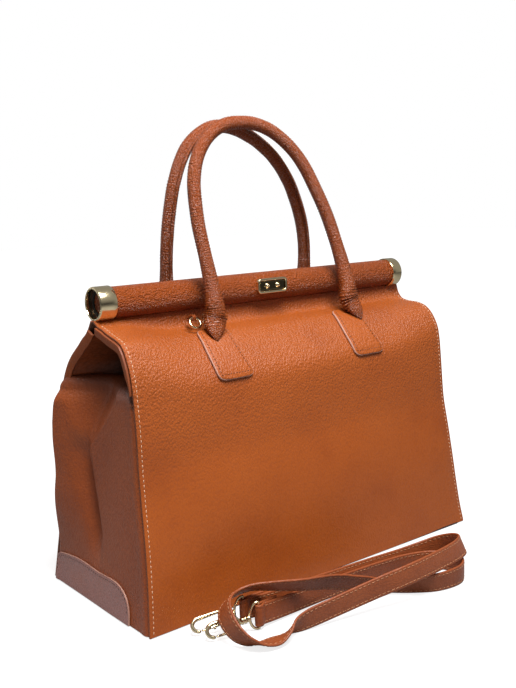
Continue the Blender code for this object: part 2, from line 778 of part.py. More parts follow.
def make_tab(side, end, hinge):
    # Shield-shaped strip sewn over the shoulder under a handle's foot
    name = f"{SIDE_NAMES[side]}_{END_NAMES[end]}_tab"
    centre = end * HANDLE_SPREAD / 2
    inside = [along for along in FLAP_ALONGS if TAB_START < along < TAB_END]
    corner_end = along_at_height(TAB_FOOT_HEIGHT + TAB_CORNER)
    alongs = sorted([TAB_START, TAB_END, corner_end] + [a for a in inside if abs(a - corner_end) > 0.004])
    foot = panel_point(TAB_START)[1]
    top = panel_point(TAB_END)
    rows = []
    for along in alongs:
        out, height = panel_offset(along, SEAM_GAP + TAB_LEATHER)
        rise = panel_point(along)[1] - foot
        share = rise / (top[1] - foot)
        width = TAB_WIDTH + (TAB_TOP_WIDTH - TAB_WIDTH) * share
        if rise < TAB_CORNER:
            short = TAB_CORNER - rise
            width -= 2 * (TAB_CORNER - math.sqrt(max(TAB_CORNER ** 2 - short ** 2, 0.0)))
        rows.append([(centre + x, side * out, height) for x in steps(-width / 2, width / 2, TAB_COLUMNS)])
    part = add_part(name, sheet(name, rows, side == BACK), TAN, 0.4, parent=hinge)
    thicken(part, TAB_LEATHER)


def handle_line(side):
    points = []
    for index in range(43):
        share, rise = smooth_point(HANDLE_SHARES, index / 42)
        lean = (FOOT_OUT - HANDLE_TOP_OUT) * min(max(rise, 0.0), 1.0)
        points.append((share * HANDLE_SPREAD, side * (FOOT_OUT - lean), FOOT_HEIGHT + rise * HANDLE_RISE))
    return points


def make_handle(side, hinge):
    name = SIDE_NAMES[side] + "_handle"
    line = handle_line(side)
    mesh = tube_solid(name, line, HANDLE_RADIUS, HANDLE_SIDES)
    smooth_round(mesh)
    part = add_part(name, mesh, TAN, 0.4, parent=hinge)
    for end in (LEFT, RIGHT):
        foot = (end * HANDLE_SPREAD / 2, side * FOOT_OUT, FOOT_HEIGHT)
        ball = ball_mesh(name + "_foot", HANDLE_RADIUS, foot, 12, 8)
        cut(part, cutter(f"{name}_{END_NAMES[end]}_foot", ball), "UNION")


# Strap rings and the loops that hold them

RING_PIN_HEIGHT = TUBE_HEIGHT - RING_PIN_UNDER


def ring_pin(side, end):
    return Vector((end * RING_PLACE, side * RING_PIN_OUT, RING_PIN_HEIGHT))


def make_strap_ring(side, end, hinge, swing):
    label = END_NAMES[end]
    pin = ring_pin(side, end)
    way = Vector((0.0, side * RING_LEAN, -math.sqrt(1.0 - RING_LEAN ** 2)))
    centre = pin + way * RING_RADIUS
    points = []
    for index in range(20):
        angle = index / 20 * math.tau
        points.append(centre + Vector((math.sin(angle), 0, 0)) * RING_RADIUS - way * math.cos(angle) * RING_RADIUS)
    mesh = tube_solid(label + "_strap_ring", points, RING_WIRE_RADIUS, 8, cyclic=True)
    smooth_round(mesh)
    add_part(label + "_strap_ring", mesh, GOLD, 0.2, 1.0, parent=swing)

    # Leather loop round the ring's wire, sewn in beside the tube's seam
    eye = RING_WIRE_RADIUS + SEAM_GAP * 2
    wide = eye + LOOP_LEATHER
    root_out = panel_point(along_at_height(RING_PIN_HEIGHT - LOOP_LEATHER * 2))[0] + SEAM_GAP
    length = RING_PIN_OUT - root_out
    outline = [(wide * math.cos(a), wide * math.sin(a)) for a in steps(math.pi / 2, -math.pi / 2, 8)]
    outline += [(-length * 0.45, -LOOP_LEATHER), (-length, -LOOP_LEATHER), (-length, LOOP_LEATHER)]
    outline += [(-length * 0.45, LOOP_LEATHER)]
    hole = [(eye * math.cos(a), eye * math.sin(a)) for a in steps(0.0, math.tau, 12)[:-1]]
    mesh = outline_solid(label + "_ring_loop", outline, LOOP_WIDTH, (hole,))
    mesh.transform(Matrix(((0, 0, 1, pin.x), (side, 0, 0, pin.y), (0, 1, 0, pin.z), (0, 0, 0, 1))))
    fix = bmesh.new()
    fix.from_mesh(mesh)
    bmesh.ops.recalc_face_normals(fix, faces=fix.faces)
    fix.to_mesh(mesh)
    fix.free()
    add_part(label + "_ring_loop", mesh, TAN_DARK, 0.5, parent=hinge)


# Shoulder strap

def ribbon(name, line, width, thickness):
    # Rectangular band along a line of (place, lean) with its width upright where the lean is nought
    mesh = bpy.data.meshes.new(name)
    work = bmesh.new()
    rings = []
    count = len(line)
    for index, (place, lean) in enumerate(line):
        before = line[max(index - 1, 0)][0]
        after = line[min(index + 1, count - 1)][0]
        run = (after - before).normalized()
        across = run.cross(Vector((0.0, 0.0, 1.0))).normalized()
        upright = across.cross(run).normalized()
        turn = math.radians(lean)
        wide = upright * math.cos(turn) + across * math.sin(turn)
        thin = across * math.cos(turn) - upright * math.sin(turn)
        ring = []
        for a, b in ((1, 1), (-1, 1), (-1, -1), (1, -1)):
            ring.append(work.verts.new(place + wide * (a * width / 2) + thin * (b * thickness / 2)))
        rings.append(ring)
    for first, second in zip(rings, rings[1:]):
        for corner in range(4):
            following = (corner + 1) % 4
            work.faces.new((first[corner], first[following], second[following], second[corner]))
    work.faces.new(rings[0])
    work.faces.new(rings[-1][::-1])
    bmesh.ops.recalc_face_normals(work, faces=work.faces)
    work.to_mesh(mesh)
    work.free()
    return mesh


def route_tangent(route, knots, index):
    # Slope of the route at one of its points, from the points on both sides of it
    first = max(index - 1, 0)
    last = min(index + 1, len(route) - 1)
    parts = []
    for low in range(first, last):
        span = knots[low + 1] - knots[low]
        parts.append(([(b - a) / span for a, b in zip(route[low], route[low + 1])], span))
    if len(parts) == 1:
        return parts[0][0]
    (before, near), (after, far) = parts
    return [(a * far + b * near) / (near + far) for a, b in zip(before, after)]


def strap_line():
    # Evenly spaced places and leans on a smooth curve through the unevenly spaced points of the route
    knots = [0.0]
    for first, second in zip(STRAP_ROUTE, STRAP_ROUTE[1:]):
        knots.append(knots[-1] + math.sqrt(math.dist(first[:3], second[:3])))
    slopes = [route_tangent(STRAP_ROUTE, knots, index) for index in range(len(STRAP_ROUTE))]
    dense = []
    for index in range(len(STRAP_ROUTE) - 1):
        span = knots[index + 1] - knots[index]
        last = index == len(STRAP_ROUTE) - 2
        for t in steps(0.0, 1.0, ROUTE_SAMPLES)[:None if last else -1]:
            x, y, z, lean = (
                (2 * t ** 3 - 3 * t * t + 1) * a + (t ** 3 - 2 * t * t + t) * span * sa
                + (3 * t * t - 2 * t ** 3) * b + (t ** 3 - t * t) * span * sb
                for a, sa, b, sb in zip(STRAP_ROUTE[index], slopes[index], STRAP_ROUTE[index + 1], slopes[index + 1])
            )
            dense.append((Vector((x, y, z)), lean))
    lengths = [0.0]
    for first, second in zip(dense, dense[1:]):
        lengths.append(lengths[-1] + (second[0] - first[0]).length)
    total = lengths[-1]
    trim = EYE_WIRE + SEAM_GAP + STRAP_THICKNESS * 2
    line = []
    cursor = 0
    for wanted in steps(trim, total - trim, STRAP_STEPS):
        while lengths[cursor + 1] < wanted and cursor < len(dense) - 2:
            cursor += 1
        t = (wanted - lengths[cursor]) / (lengths[cursor + 1] - lengths[cursor])
        first, second = dense[cursor], dense[cursor + 1]
        line.append((first[0].lerp(second[0], t), first[1] + (second[1] - first[1]) * t))
    return line, total


def hook_frame(start, way):
    # Own X runs from the eye's bar to the hook's tip, own Y across, own Z up
    run = Vector(way).normalized()
    across = Vector((0.0, 0.0, 1.0)).cross(run).normalized()
    up = run.cross(across).normalized()
    turn = Matrix((run, across, up)).transposed().to_4x4()
    return Matrix.Translation(start) @ turn


def upright_frame(start, way):
    # The same with own Z upright, for the eye's bar in the strap's fold
    run = Vector((way[0], way[1], 0.0)).normalized()
    across = Vector((0.0, 0.0, 1.0)).cross(run)
    return Matrix.Translation(start) @ Matrix((run, across, Vector((0.0, 0.0, 1.0)))).transposed().to_4x4()


EYE_HALF = STRAP_WIDTH / 2 + EYE_CLEARANCE + EYE_WIRE
BARREL_START = EYE_REACH + EYE_WIRE + EYE_HEAD_LENGTH / 2 + SEAM_GAP


def make_strap_end(label, start, run_way):
    # Folded end of the strap, round the eye's bar: own X points out along the strap's end
    bore = EYE_WIRE + SEAM_GAP
    wide = bore + STRAP_THICKNESS
    tail = STRAP_END_LENGTH
    outline = [(wide * math.cos(a), wide * math.sin(a)) for a in steps(math.pi / 2, -math.pi / 2, 10)]
    outline += [(-wide, -wide), (-wide * 2, -STRAP_THICKNESS * 1.5 - SEAM_GAP)]
    outline += [(-tail, -STRAP_THICKNESS * 1.5 - SEAM_GAP), (-tail, -STRAP_THICKNESS / 2 - SEAM_GAP)]
    outline += [(-wide * 1.25, -STRAP_THICKNESS / 2 - SEAM_GAP), (-wide * 1.25, STRAP_THICKNESS / 2)]
    outline += [(-wide, wide)]
    hole = [(bore * math.cos(a), bore * math.sin(a)) for a in steps(0.0, math.tau, 12)[:-1]]
    mesh = outline_solid("strap_end_" + label, outline, STRAP_WIDTH, (hole,))
    mesh.transform(upright_frame(start, run_way))
    return add_part("strap_end_" + label, mesh, STRAP_BROWN, 0.45, parent=STRAP_BODY)


def make_eye(label, start, way):
    # D-shaped wire whose straight side is the bar, with a round head for the swivel
    points = [(0.0, 0.0, -EYE_HALF), (0.0, 0.0, EYE_HALF)]
    for angle in steps(math.pi / 2, -math.pi / 2, 10):
        reach = EYE_REACH * math.cos(angle)
        points.append((EYE_WIRE + reach * (1 - EYE_WIRE / EYE_REACH), 0.0, EYE_HALF * math.sin(angle)))
    mesh = tube_solid("hook_" + label + "_eye", points, EYE_WIRE, 8, cyclic=True)
    mesh.transform(upright_frame(start, way))
    smooth_round(mesh)
    part = add_part("hook_" + label + "_eye", mesh, GOLD, 0.2, 1.0, parent=STRAP_BODY)
    head = cylinder_mesh("head", EYE_HEAD_RADIUS, EYE_HEAD_LENGTH, 14)
    along = Matrix.Translation((EYE_REACH + EYE_WIRE, 0.0, 0.0)) @ Matrix.Rotation(math.pi / 2, 4, "Y")
    tool = cutter("hook_" + label + "_head", head, hook_frame(start, way) @ along)
    cut(part, tool, "UNION")


def hook_line():
    # Middle line of the hook's wire: across the base, along one side, round the tip to the nose
    half = HOOK_WIDTH / 2 - HOOK_WIRE
    base = BARREL_START + BARREL_LENGTH + HOOK_WIRE * 0.5
    tip = BARREL_START + HOOK_LENGTH - HOOK_WIRE
    bend = tip - half * 1.2
    points = [(base + HOOK_WIRE, half * 0.93, 0.0), (base, half * 0.5, 0.0), (base, -half * 0.5, 0.0)]
    points += [(base + half * 0.45, -half * 0.92, 0.0), (base + half, -half, 0.0), (bend, -half, 0.0)]
    for angle in steps(-math.pi / 2, math.pi * 0.46, 10)[1:]:
        points.append((bend + math.cos(angle) * half * 1.2, math.sin(angle) * half, 0.0))
    return points


def make_hook(label, start, way, swivel, gate_pivot):
    frame = hook_frame(start, way)
    points = hook_line()
    mesh = tube_solid("hook_" + label, points, HOOK_WIRE, 8)
    mesh.transform(frame)
    smooth_round(mesh)
    part = add_part("hook_" + label, mesh, GOLD, 0.2, 1.0, parent=swivel)
    barrel = cylinder_mesh("barrel", BARREL_RADIUS, BARREL_LENGTH, 14)
    along = Matrix.Translation((BARREL_START + BARREL_LENGTH / 2, 0.0, 0.0)) @ Matrix.Rotation(math.pi / 2, 4, "Y")
    cut(part, cutter("hook_" + label + "_barrel", barrel, frame @ along), "UNION")

    side = points[0][1]
    root = points[0][0] + HOOK_WIRE + GATE_WIRE + SEAM_GAP
    stop = points[-1][0] - HOOK_WIRE * 0.25 - SEAM_GAP
    gate = tube_solid("hook_" + label + "_gate", [(root, side, 0.0), (stop, side, 0.0)], GATE_WIRE, 8)
    gate.transform(frame)
    smooth_round(gate)
    add_part("hook_" + label + "_gate", gate, GOLD, 0.2, 1.0, parent=gate_pivot)


# Assembly

make_base()
STRAP_BODY = pivot("strap_lift", (STRAP_ROUTE[0][0], STRAP_ROUTE[0][1], STRAP_ROUTE[0][2]))
for side in (FRONT, BACK):
    make_panel(side)
    flap_hinge = pivot(SIDE_NAMES[side] + "_flap_hinge", (0.0, side * HINGE_OUT, HINGE_HEIGHT))
    make_flap_panel(side, flap_hinge)
    make_tube_half(side, flap_hinge)
    for end in (LEFT, RIGHT):
        make_end_ring(side, end, flap_hinge)
        make_binding(side, end, flap_hinge)
        make_fold(side, end)
        make_tab(side, end, flap_hinge)
    handle_hinge = pivot(SIDE_NAMES[side] + "_handle_hinge", (0.0, side * FOOT_OUT, FOOT_HEIGHT))
    make_handle(side, handle_hinge)
    ring_end = LEFT if side == FRONT else RIGHT
    ring_hinge = pivot(END_NAMES[ring_end] + "_ring_hinge", ring_pin(side, ring_end))
    make_strap_ring(side, ring_end, flap_hinge, ring_hinge)
    if side == FRONT:
        make_lock(flap_hinge, pivot("lock_press", (0.0, -COVER_RADIUS, LOCK_Z)))
for end in (LEFT, RIGHT):
    make_gusset(end)
    make_patch(end)

LINE, STRAP_LENGTH = strap_line()
add_part("strap_band", ribbon("strap_band", LINE, STRAP_WIDTH, STRAP_THICKNESS), STRAP_BROWN, 0.45, parent=STRAP_BODY)
for label, first, second, way in (("a", 0, 1, HOOK_A_WAY), ("b", -1, -2, HOOK_B_WAY)):
    start = Vector(STRAP_ROUTE[first][:3])
    run_way = start - Vector(STRAP_ROUTE[second][:3])
    make_strap_end(label, start, run_way)
    make_eye(label, start, way)
    frame = hook_frame(start, way)
    swivel = pivot("hook_" + label + "_swivel", frame @ Vector((BARREL_START, 0.0, 0.0)))
    corner = hook_line()[0]
    gate_place = (corner[0] + HOOK_WIRE + GATE_WIRE + SEAM_GAP, corner[1], 0.0)
    make_hook(label, start, way, swivel, pivot("hook_" + label + "_gate_pivot", frame @ Vector(gate_place)))

print(f"strap route {STRAP_LENGTH:.4f} m")
print(f"flap hinge y {HINGE_OUT:.5f} z {HINGE_HEIGHT:.5f}")
print(f"handle foot y {FOOT_OUT:.5f} z {FOOT_HEIGHT:.5f}")
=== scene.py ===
import math

import bpy
import numpy as np
from mathutils import Matrix, Vector


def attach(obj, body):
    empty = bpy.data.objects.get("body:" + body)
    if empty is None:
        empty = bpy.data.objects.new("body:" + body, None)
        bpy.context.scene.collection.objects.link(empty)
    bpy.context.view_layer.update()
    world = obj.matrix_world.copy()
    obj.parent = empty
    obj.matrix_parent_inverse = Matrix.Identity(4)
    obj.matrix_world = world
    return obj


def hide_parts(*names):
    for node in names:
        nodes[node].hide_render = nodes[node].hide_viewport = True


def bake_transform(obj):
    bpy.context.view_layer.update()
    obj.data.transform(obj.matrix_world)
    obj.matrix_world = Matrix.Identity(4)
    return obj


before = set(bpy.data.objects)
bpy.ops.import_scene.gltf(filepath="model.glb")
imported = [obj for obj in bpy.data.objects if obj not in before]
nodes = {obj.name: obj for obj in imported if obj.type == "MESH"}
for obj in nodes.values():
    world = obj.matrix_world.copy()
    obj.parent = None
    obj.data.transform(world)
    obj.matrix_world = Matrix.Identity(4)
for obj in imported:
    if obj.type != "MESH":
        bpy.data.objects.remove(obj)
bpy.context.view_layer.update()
front, back, left, right = -1, 1, -1, 1
sideNames = {front: "front", back: "back"}
endNames = {left: "left", right: "right"}
print("frame loaded")


def cornerName(side, end):
    return f"{sideNames[side]}_{endNames[end]}"


# Camera: where the photograph was taken from, and its focal length in the photograph's own pixels
cameraView = {
    "place": (-0.5235, -0.6605, 0.3355),
    "yaw": 38.0,
    "pitch": 9.1,
    "roll": 2.02,
    "focalPixels": 909.6,
    "imageHeight": 688,
    "sensor": 36.0,
}


def placeCamera(view):
    yaw, pitch, roll = (math.radians(view[key]) for key in ("yaw", "pitch", "roll"))
    ahead = Vector((math.sin(yaw) * math.cos(pitch), math.cos(yaw) * math.cos(pitch), -math.sin(pitch)))
    level = Vector((math.cos(yaw), -math.sin(yaw), 0))
    down = ahead.cross(level)
    across = level * math.cos(roll) + down * math.sin(roll)
    down = down * math.cos(roll) - level * math.sin(roll)
    data = bpy.data.cameras.new("camera")
    data.sensor_width = view["sensor"]
    data.lens = view["focalPixels"] * view["sensor"] / view["imageHeight"]
    data.clip_start = 0.02
    camera = bpy.data.objects.new("camera", data)
    camera.matrix_world = Matrix.Translation(view["place"]) @ Matrix((across, -down, -ahead)).transposed().to_4x4()
    bpy.context.scene.collection.objects.link(camera)
    bpy.context.scene.camera = camera


placeCamera(cameraView)


# Number work shared by the pieces

def unit(vectors):
    return vectors / np.maximum(np.linalg.norm(vectors, axis=-1, keepdims=True), 1e-12)


def ease(share):
    share = np.clip(share, 0, 1)
    return share * share * (3 - 2 * share)


def grown(value, span):
    # 0 up to the span's start, 1 past its length
    return ease((value - span[0]) / span[1])


def bell(distance):
    return np.exp(-distance * distance)


def through(table, share):
    # Smooth curve through the rows of a table: a cubic between each two rows, with slopes from the rows beside them
    rows = np.asarray(table, float)
    last = len(rows) - 1
    place = np.clip(share, 0, 1) * last
    index = np.minimum(place.astype(int), last - 1)
    t = (place - index)[..., None]
    a, b, c, d = rows[np.maximum(index - 1, 0)], rows[index], rows[index + 1], rows[np.minimum(index + 2, last)]
    return 0.5 * (2 * b + (c - a) * t + (2 * a - 5 * b + 4 * c - d) * t ** 2 + (3 * b - a - 3 * c + d) * t ** 3)


def runLengths(line):
    return np.concatenate([[0.0], np.cumsum(np.linalg.norm(np.diff(line, axis=0), axis=1))])


def wayAlong(line):
    return unit(np.gradient(line, axis=0))


def readAlong(rows, lengths, wanted):
    # Each column of the rows, read between them at the wanted lengths
    return np.stack([np.interp(wanted, lengths, rows[:, k]) for k in range(rows.shape[1])], -1)


def evenly(line, count):
    # Resamples a dense line at even steps of its length
    lengths = runLengths(line)
    return readAlong(line, lengths, np.linspace(0, lengths[-1], count))


def stacked(*parts):
    # Points out of coordinates that each change along their own direction of the grid
    return np.stack(np.broadcast_arrays(*parts), -1)


# Meshes

def gridFaces(rows, columns, closeRows=False, closeColumns=False):
    r, c = np.meshgrid(np.arange(rows - (not closeRows)), np.arange(columns - (not closeColumns)), indexing="ij")
    r, c = r.ravel(), c.ravel()
    corners = [(r, c), (r, c + 1), (r + 1, c + 1), (r + 1, c)]
    faces = np.stack([(a % rows) * columns + b % columns for a, b in corners], -1)
    return faces, corners


def gridMesh(name, points, spread, closeRows=False, closeColumns=False, capped=False, flip=False):
    # Surface through a grid of points; spread holds each point's place on the flat leather, in metres
    rows, columns = points.shape[:2]
    faces, corners = gridFaces(rows, columns, closeRows, closeColumns)
    uv = np.stack([spread[a, b] for a, b in corners], 1)
    if flip:
        faces, uv = faces[:, ::-1], uv[:, ::-1]
    lists = faces.tolist()
    flat = uv.reshape(-1, 2)
    if capped:
        ring = np.arange(columns)
        lists += [ring[:: 1 if flip else -1].tolist(), (ring[:: -1 if flip else 1] + (rows - 1) * columns).tolist()]
        flat = np.concatenate([flat, np.zeros((columns * 2, 2))])
    mesh = bpy.data.meshes.new(name)
    mesh.from_pydata(points.reshape(-1, 3), [], lists)
    mesh.uv_layers.new(name="UVMap").data.foreach_set("uv", flat.astype(np.float32).ravel())
    mesh.shade_smooth()
    return mesh


def sweep(name, line, up, section, closed=False, capped=True, flip=False):
    # Carries a closed section of (across, up) points along a line; the section may change from row to row
    line = np.asarray(line, float)
    run = unit(np.roll(line, -1, 0) - np.roll(line, 1, 0)) if closed else wayAlong(line)
    up = np.broadcast_to(np.asarray(up, float), line.shape)
    up = unit(up - (up * run).sum(-1, keepdims=True) * run)
    across = np.cross(run, up)
    section = np.asarray(section, float)
    if section.ndim == 2:
        section = np.broadcast_to(section, (len(line), *section.shape))
    points = line[:, None] + across[:, None] * section[..., :1] + up[:, None] * section[..., 1:]
    outline = np.concatenate([section, section[:, :1]], 1)
    girth = np.linalg.norm(np.diff(outline, axis=1), axis=2).cumsum(1).mean(0)
    u = np.concatenate([[0.0], girth])
    v = runLengths(np.concatenate([line, line[:1]])) if closed else runLengths(line)
    spread = stacked(u[None], v[:, None])
    return gridMesh(name, points, spread, closed, True, capped and not closed, flip)


def readAll(items, key, width=1, kind=np.float32):
    values = np.empty(len(items) * width, kind)
    items.foreach_get(key, values)
    return values


def joinMeshes(name, meshes):
    # One mesh out of several; each face keeps the number of its material
    made = bpy.data.meshes.new(name)
    points, faces, uv, looks, first = [], [], [], [], 0
    for mesh in meshes:
        points.append(readAll(mesh.vertices, "co", 3).reshape(-1, 3))
        faces += [[i + first for i in face.vertices] for face in mesh.polygons]
        uv.append(readAll(mesh.uv_layers[0].data, "uv", 2))
        looks.append(readAll(mesh.polygons, "material_index", kind=np.int32))
        first += len(mesh.vertices)
    made.from_pydata(np.concatenate(points), [], faces)
    made.uv_layers.new(name="UVMap").data.foreach_set("uv", np.concatenate(uv))
    made.polygons.foreach_set("material_index", np.concatenate(looks))
    made.shade_smooth()
    return made


def ellipse(width, height, count=24, start=0.0):
    turn = np.linspace(0, math.tau, count, endpoint=False) + start
    return np.stack([np.cos(turn) * width, np.sin(turn) * height], -1)


def lathe(name, profile, steps, startAngle=0.0, sweepAngle=math.tau):
    # Closed profile of (distance out, distance along) turned about X; less than a full turn gets flat ends
    profile = np.asarray(profile, float)
    whole = abs(sweepAngle - math.tau) < 1e-6
    angles = startAngle + np.linspace(0, sweepAngle, steps, endpoint=not whole)
    out, along = profile[:, 0], profile[:, 1]
    points = stacked(along[None], np.cos(angles)[:, None] * out[None], np.sin(angles)[:, None] * out[None])
    v = runLengths(np.concatenate([profile, profile[:1]]))
    u = np.concatenate([angles, [angles[0] + sweepAngle]]) * out.mean()
    spread = stacked(v[None], u[:, None])
    return gridMesh(name, points, spread, whole, True, not whole)


def moveMesh(mesh, matrix):
    mesh.transform(matrix)
    return mesh


def setLooks(mesh, columns, choose):
    # Material slot of each face of a swept mesh, from its column
    index = np.zeros(len(mesh.polygons), np.int32)
    count = len(mesh.polygons) // columns * columns
    index[:count] = np.tile(choose, count // columns)
    mesh.polygons.foreach_set("material_index", index)


# Stitches: one small rounded thread form, repeated along rows
stitchForm = {"sides": 6, "rings": (-0.5, -0.40, -0.15, 0.15, 0.40, 0.5), "girths": (0.35, 0.8, 1.0, 1.0, 0.8, 0.35)}


def stitchMesh(centres, runs, ups, length, radius):
    # Each stitch is a thread lying on the surface: rings of the given girths, arched up by a radius
    centres, runs, ups = (np.asarray(a, float) for a in (centres, runs, ups))
    runs = unit(runs)
    ups = unit(ups - (ups * runs).sum(-1, keepdims=True) * runs)
    sides = np.cross(runs, ups)
    along = np.array(stitchForm["rings"]) * length
    girth = np.array(stitchForm["girths"]) * radius
    turn = np.linspace(0, math.tau, stitchForm["sides"], endpoint=False)
    arch = radius * 0.5 * (1 - (along / (length * 0.5)) ** 2) - radius * 0.35
    local = stacked(along[:, None], np.cos(turn)[None] * girth[:, None],
                    np.sin(turn)[None] * girth[:, None] + arch[:, None])
    points = (centres[:, None, None] + runs[:, None, None] * local[None, ..., :1]
              + sides[:, None, None] * local[None, ..., 1:2] + ups[:, None, None] * local[None, ..., 2:])
    rows, columns = len(along), len(turn)
    faces, _ = gridFaces(rows, columns, False, True)
    each = faces[:, ::-1].tolist() + [list(range(columns)), [columns * (rows - 1) + i for i in range(columns)][::-1]]
    size = rows * columns
    lists = [[i + size * k for i in face] for k in range(len(centres)) for face in each]
    mesh = bpy.data.meshes.new("stitches")
    mesh.from_pydata(points.reshape(-1, 3), [], lists)
    vertex = readAll(mesh.loops, "vertex_index", kind=np.int32)
    uv = np.stack([along[(vertex % size) // columns], (vertex % columns) * radius], -1)
    mesh.uv_layers.new(name="UVMap").data.foreach_set("uv", uv.astype(np.float32).ravel())
    mesh.shade_smooth()
    return mesh


def stitchLine(line, ups, pitch, length, radius, tilt=0.0):
    # Stitches at even steps along a dense line that lies on the surface; tilt turns them a little from their row
    lengths = runLengths(line)
    count = max(int(lengths[-1] / pitch), 1)
    wanted = (np.arange(count) + 0.5) * lengths[-1] / count
    centres, runs, up = (readAlong(rows, lengths, wanted) for rows in (line, np.gradient(line, axis=0), ups))
    if tilt:
        turns = np.sin(np.arange(count) * 2.4) * tilt
        runs = unit(runs) + np.cross(unit(runs), unit(up)) * turns[:, None]
    return stitchMesh(centres, runs, up, length, radius)


# Pieces

def addPiece(name, mesh, looks, stands=(), body=None):
    made = bpy.data.objects.new(name, mesh)
    bpy.context.scene.collection.objects.link(made)
    mesh.materials.clear()
    for look in looks:
        mesh.materials.append(look)
    if stands:
        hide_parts(*stands)
    if body:
        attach(made, body)
    return made


def thicken(made, thickness, bevel=0.0, rimLook=0, insideLook=0):
    # Gives an open sheet its wall and softened edges, and keeps the result as the piece's own mesh
    wall = made.modifiers.new("wall", "SOLIDIFY")
    wall.thickness = thickness
    wall.offset = -1
    wall.use_even_offset = False
    wall.material_offset_rim = rimLook
    wall.material_offset = insideLook
    if bevel:
        soft = made.modifiers.new("soft", "BEVEL")
        soft.width = bevel
        soft.segments = 2
        soft.limit_method = "ANGLE"
        soft.angle_limit = math.radians(45)
    settle(made)


def settle(made):
    bpy.context.view_layer.update()
    graph = bpy.context.evaluated_depsgraph_get()
    result = bpy.data.meshes.new_from_object(made.evaluated_get(graph))
    made.modifiers.clear()
    made.data = result
    result.shade_smooth()
    result.set_sharp_from_angle(angle=math.radians(50))


# Materials

def feed(tree, node, inputs):
    # Each input takes a value or another node's output
    for key, value in inputs.items():
        if isinstance(value, bpy.types.NodeSocket):
            tree.links.new(value, node.inputs[key])
        else:
            node.inputs[key].default_value = value
    return node


def put(tree, kind, inputs=None, **settings):
    node = tree.nodes.new("ShaderNode" + kind)
    for key, value in settings.items():
        setattr(node, key, value)
    return feed(tree, node, inputs or {})


def placeGroup(tree, group, inputs):
    return put(tree, "Group", inputs, node_tree=group)


def mathNode(tree, operation, a, b=0.0):
    return put(tree, "Math", {0: a, 1: b}, operation=operation).outputs[0]


def vector(tree, operation, inputs):
    return put(tree, "VectorMath", inputs, operation=operation).outputs[0]


def sized(tree, place, size):
    # The place in units of the size
    return vector(tree, "SCALE", {0: place, "Scale": mathNode(tree, "DIVIDE", 1.0, size)})


def part(tree, place, axis):
    return put(tree, "SeparateXYZ", {"Vector": place}).outputs[axis]


def bumpy(tree, height, strength, distance):
    return put(tree, "Bump", {"Height": height, "Strength": strength, "Distance": distance}).outputs[0]


def remap(tree, value, low, high, toLow=0.0, toHigh=1.0):
    inputs = {"Value": value, "From Min": low, "From Max": high, "To Min": toLow, "To Max": toHigh}
    return put(tree, "MapRange", inputs).outputs[0]


def mixColour(tree, share, a, b):
    return put(tree, "Mix", {0: share, 6: a, 7: b}, data_type="RGBA").outputs[2]


def newGroup(name, inputs, outputs):
    group = bpy.data.node_groups.new(name, "ShaderNodeTree")
    for label, kind, value in inputs:
        socket = group.interface.new_socket(name=label, in_out="INPUT", socket_type="NodeSocket" + kind)
        if value is not None:
            socket.default_value = value
    for label, kind in outputs:
        group.interface.new_socket(name=label, in_out="OUTPUT", socket_type="NodeSocket" + kind)
    return group, group.nodes.new("NodeGroupInput"), group.nodes.new("NodeGroupOutput")


def makePebbleGroup():
    # Tumbled grain: rounded cells of the given size, warped by noise, with smaller cells and fine pores on them
    group, start, end = newGroup(
        "pebbleGrain",
        [("Vector", "Vector", None), ("Size", "Float", 0.002), ("Stretch", "Float", 1.0), ("Warp", "Float", 0.6)],
        [("Height", "Float"), ("Crease", "Float")])
    squeeze = mathNode(group, "DIVIDE", 1.0, start.outputs["Stretch"])
    drawn = vector(group, "MULTIPLY", {
        0: sized(group, start.outputs["Vector"], start.outputs["Size"]),
        1: put(group, "CombineXYZ", {"X": 1.0, "Y": squeeze, "Z": 1.0}).outputs[0]})
    warp = put(group, "TexNoise", {"Vector": drawn, "Scale": 0.42, "Detail": 2.0}).outputs["Color"]
    centred = vector(group, "SUBTRACT", {0: warp, 1: (0.5, 0.5, 0.5)})
    shift = vector(group, "SCALE", {0: centred, "Scale": mathNode(group, "MULTIPLY", start.outputs["Warp"], 3.0)})
    bent = vector(group, "ADD", {0: drawn, 1: shift})
    cells = put(group, "TexVoronoi", {"Vector": bent, "Scale": 1.0, "Smoothness": 0.35}, feature="SMOOTH_F1")
    small = put(group, "TexVoronoi", {"Vector": bent, "Scale": 2.4}, feature="F1")
    fine = put(group, "TexNoise", {"Vector": bent, "Scale": 4.5, "Detail": 3.0})
    wide = mathNode(group, "MULTIPLY", cells.outputs["Distance"], -1.0)
    less = mathNode(group, "MULTIPLY", small.outputs["Distance"], -0.28)
    pores = mathNode(group, "MULTIPLY", fine.outputs[0], 0.30)
    height = mathNode(group, "ADD", mathNode(group, "ADD", wide, less), pores)
    group.links.new(mathNode(group, "ADD", height, 1.0), end.inputs["Height"])
    group.links.new(remap(group, cells.outputs["Distance"], 0.42, 0.78), end.inputs["Crease"])
    return group


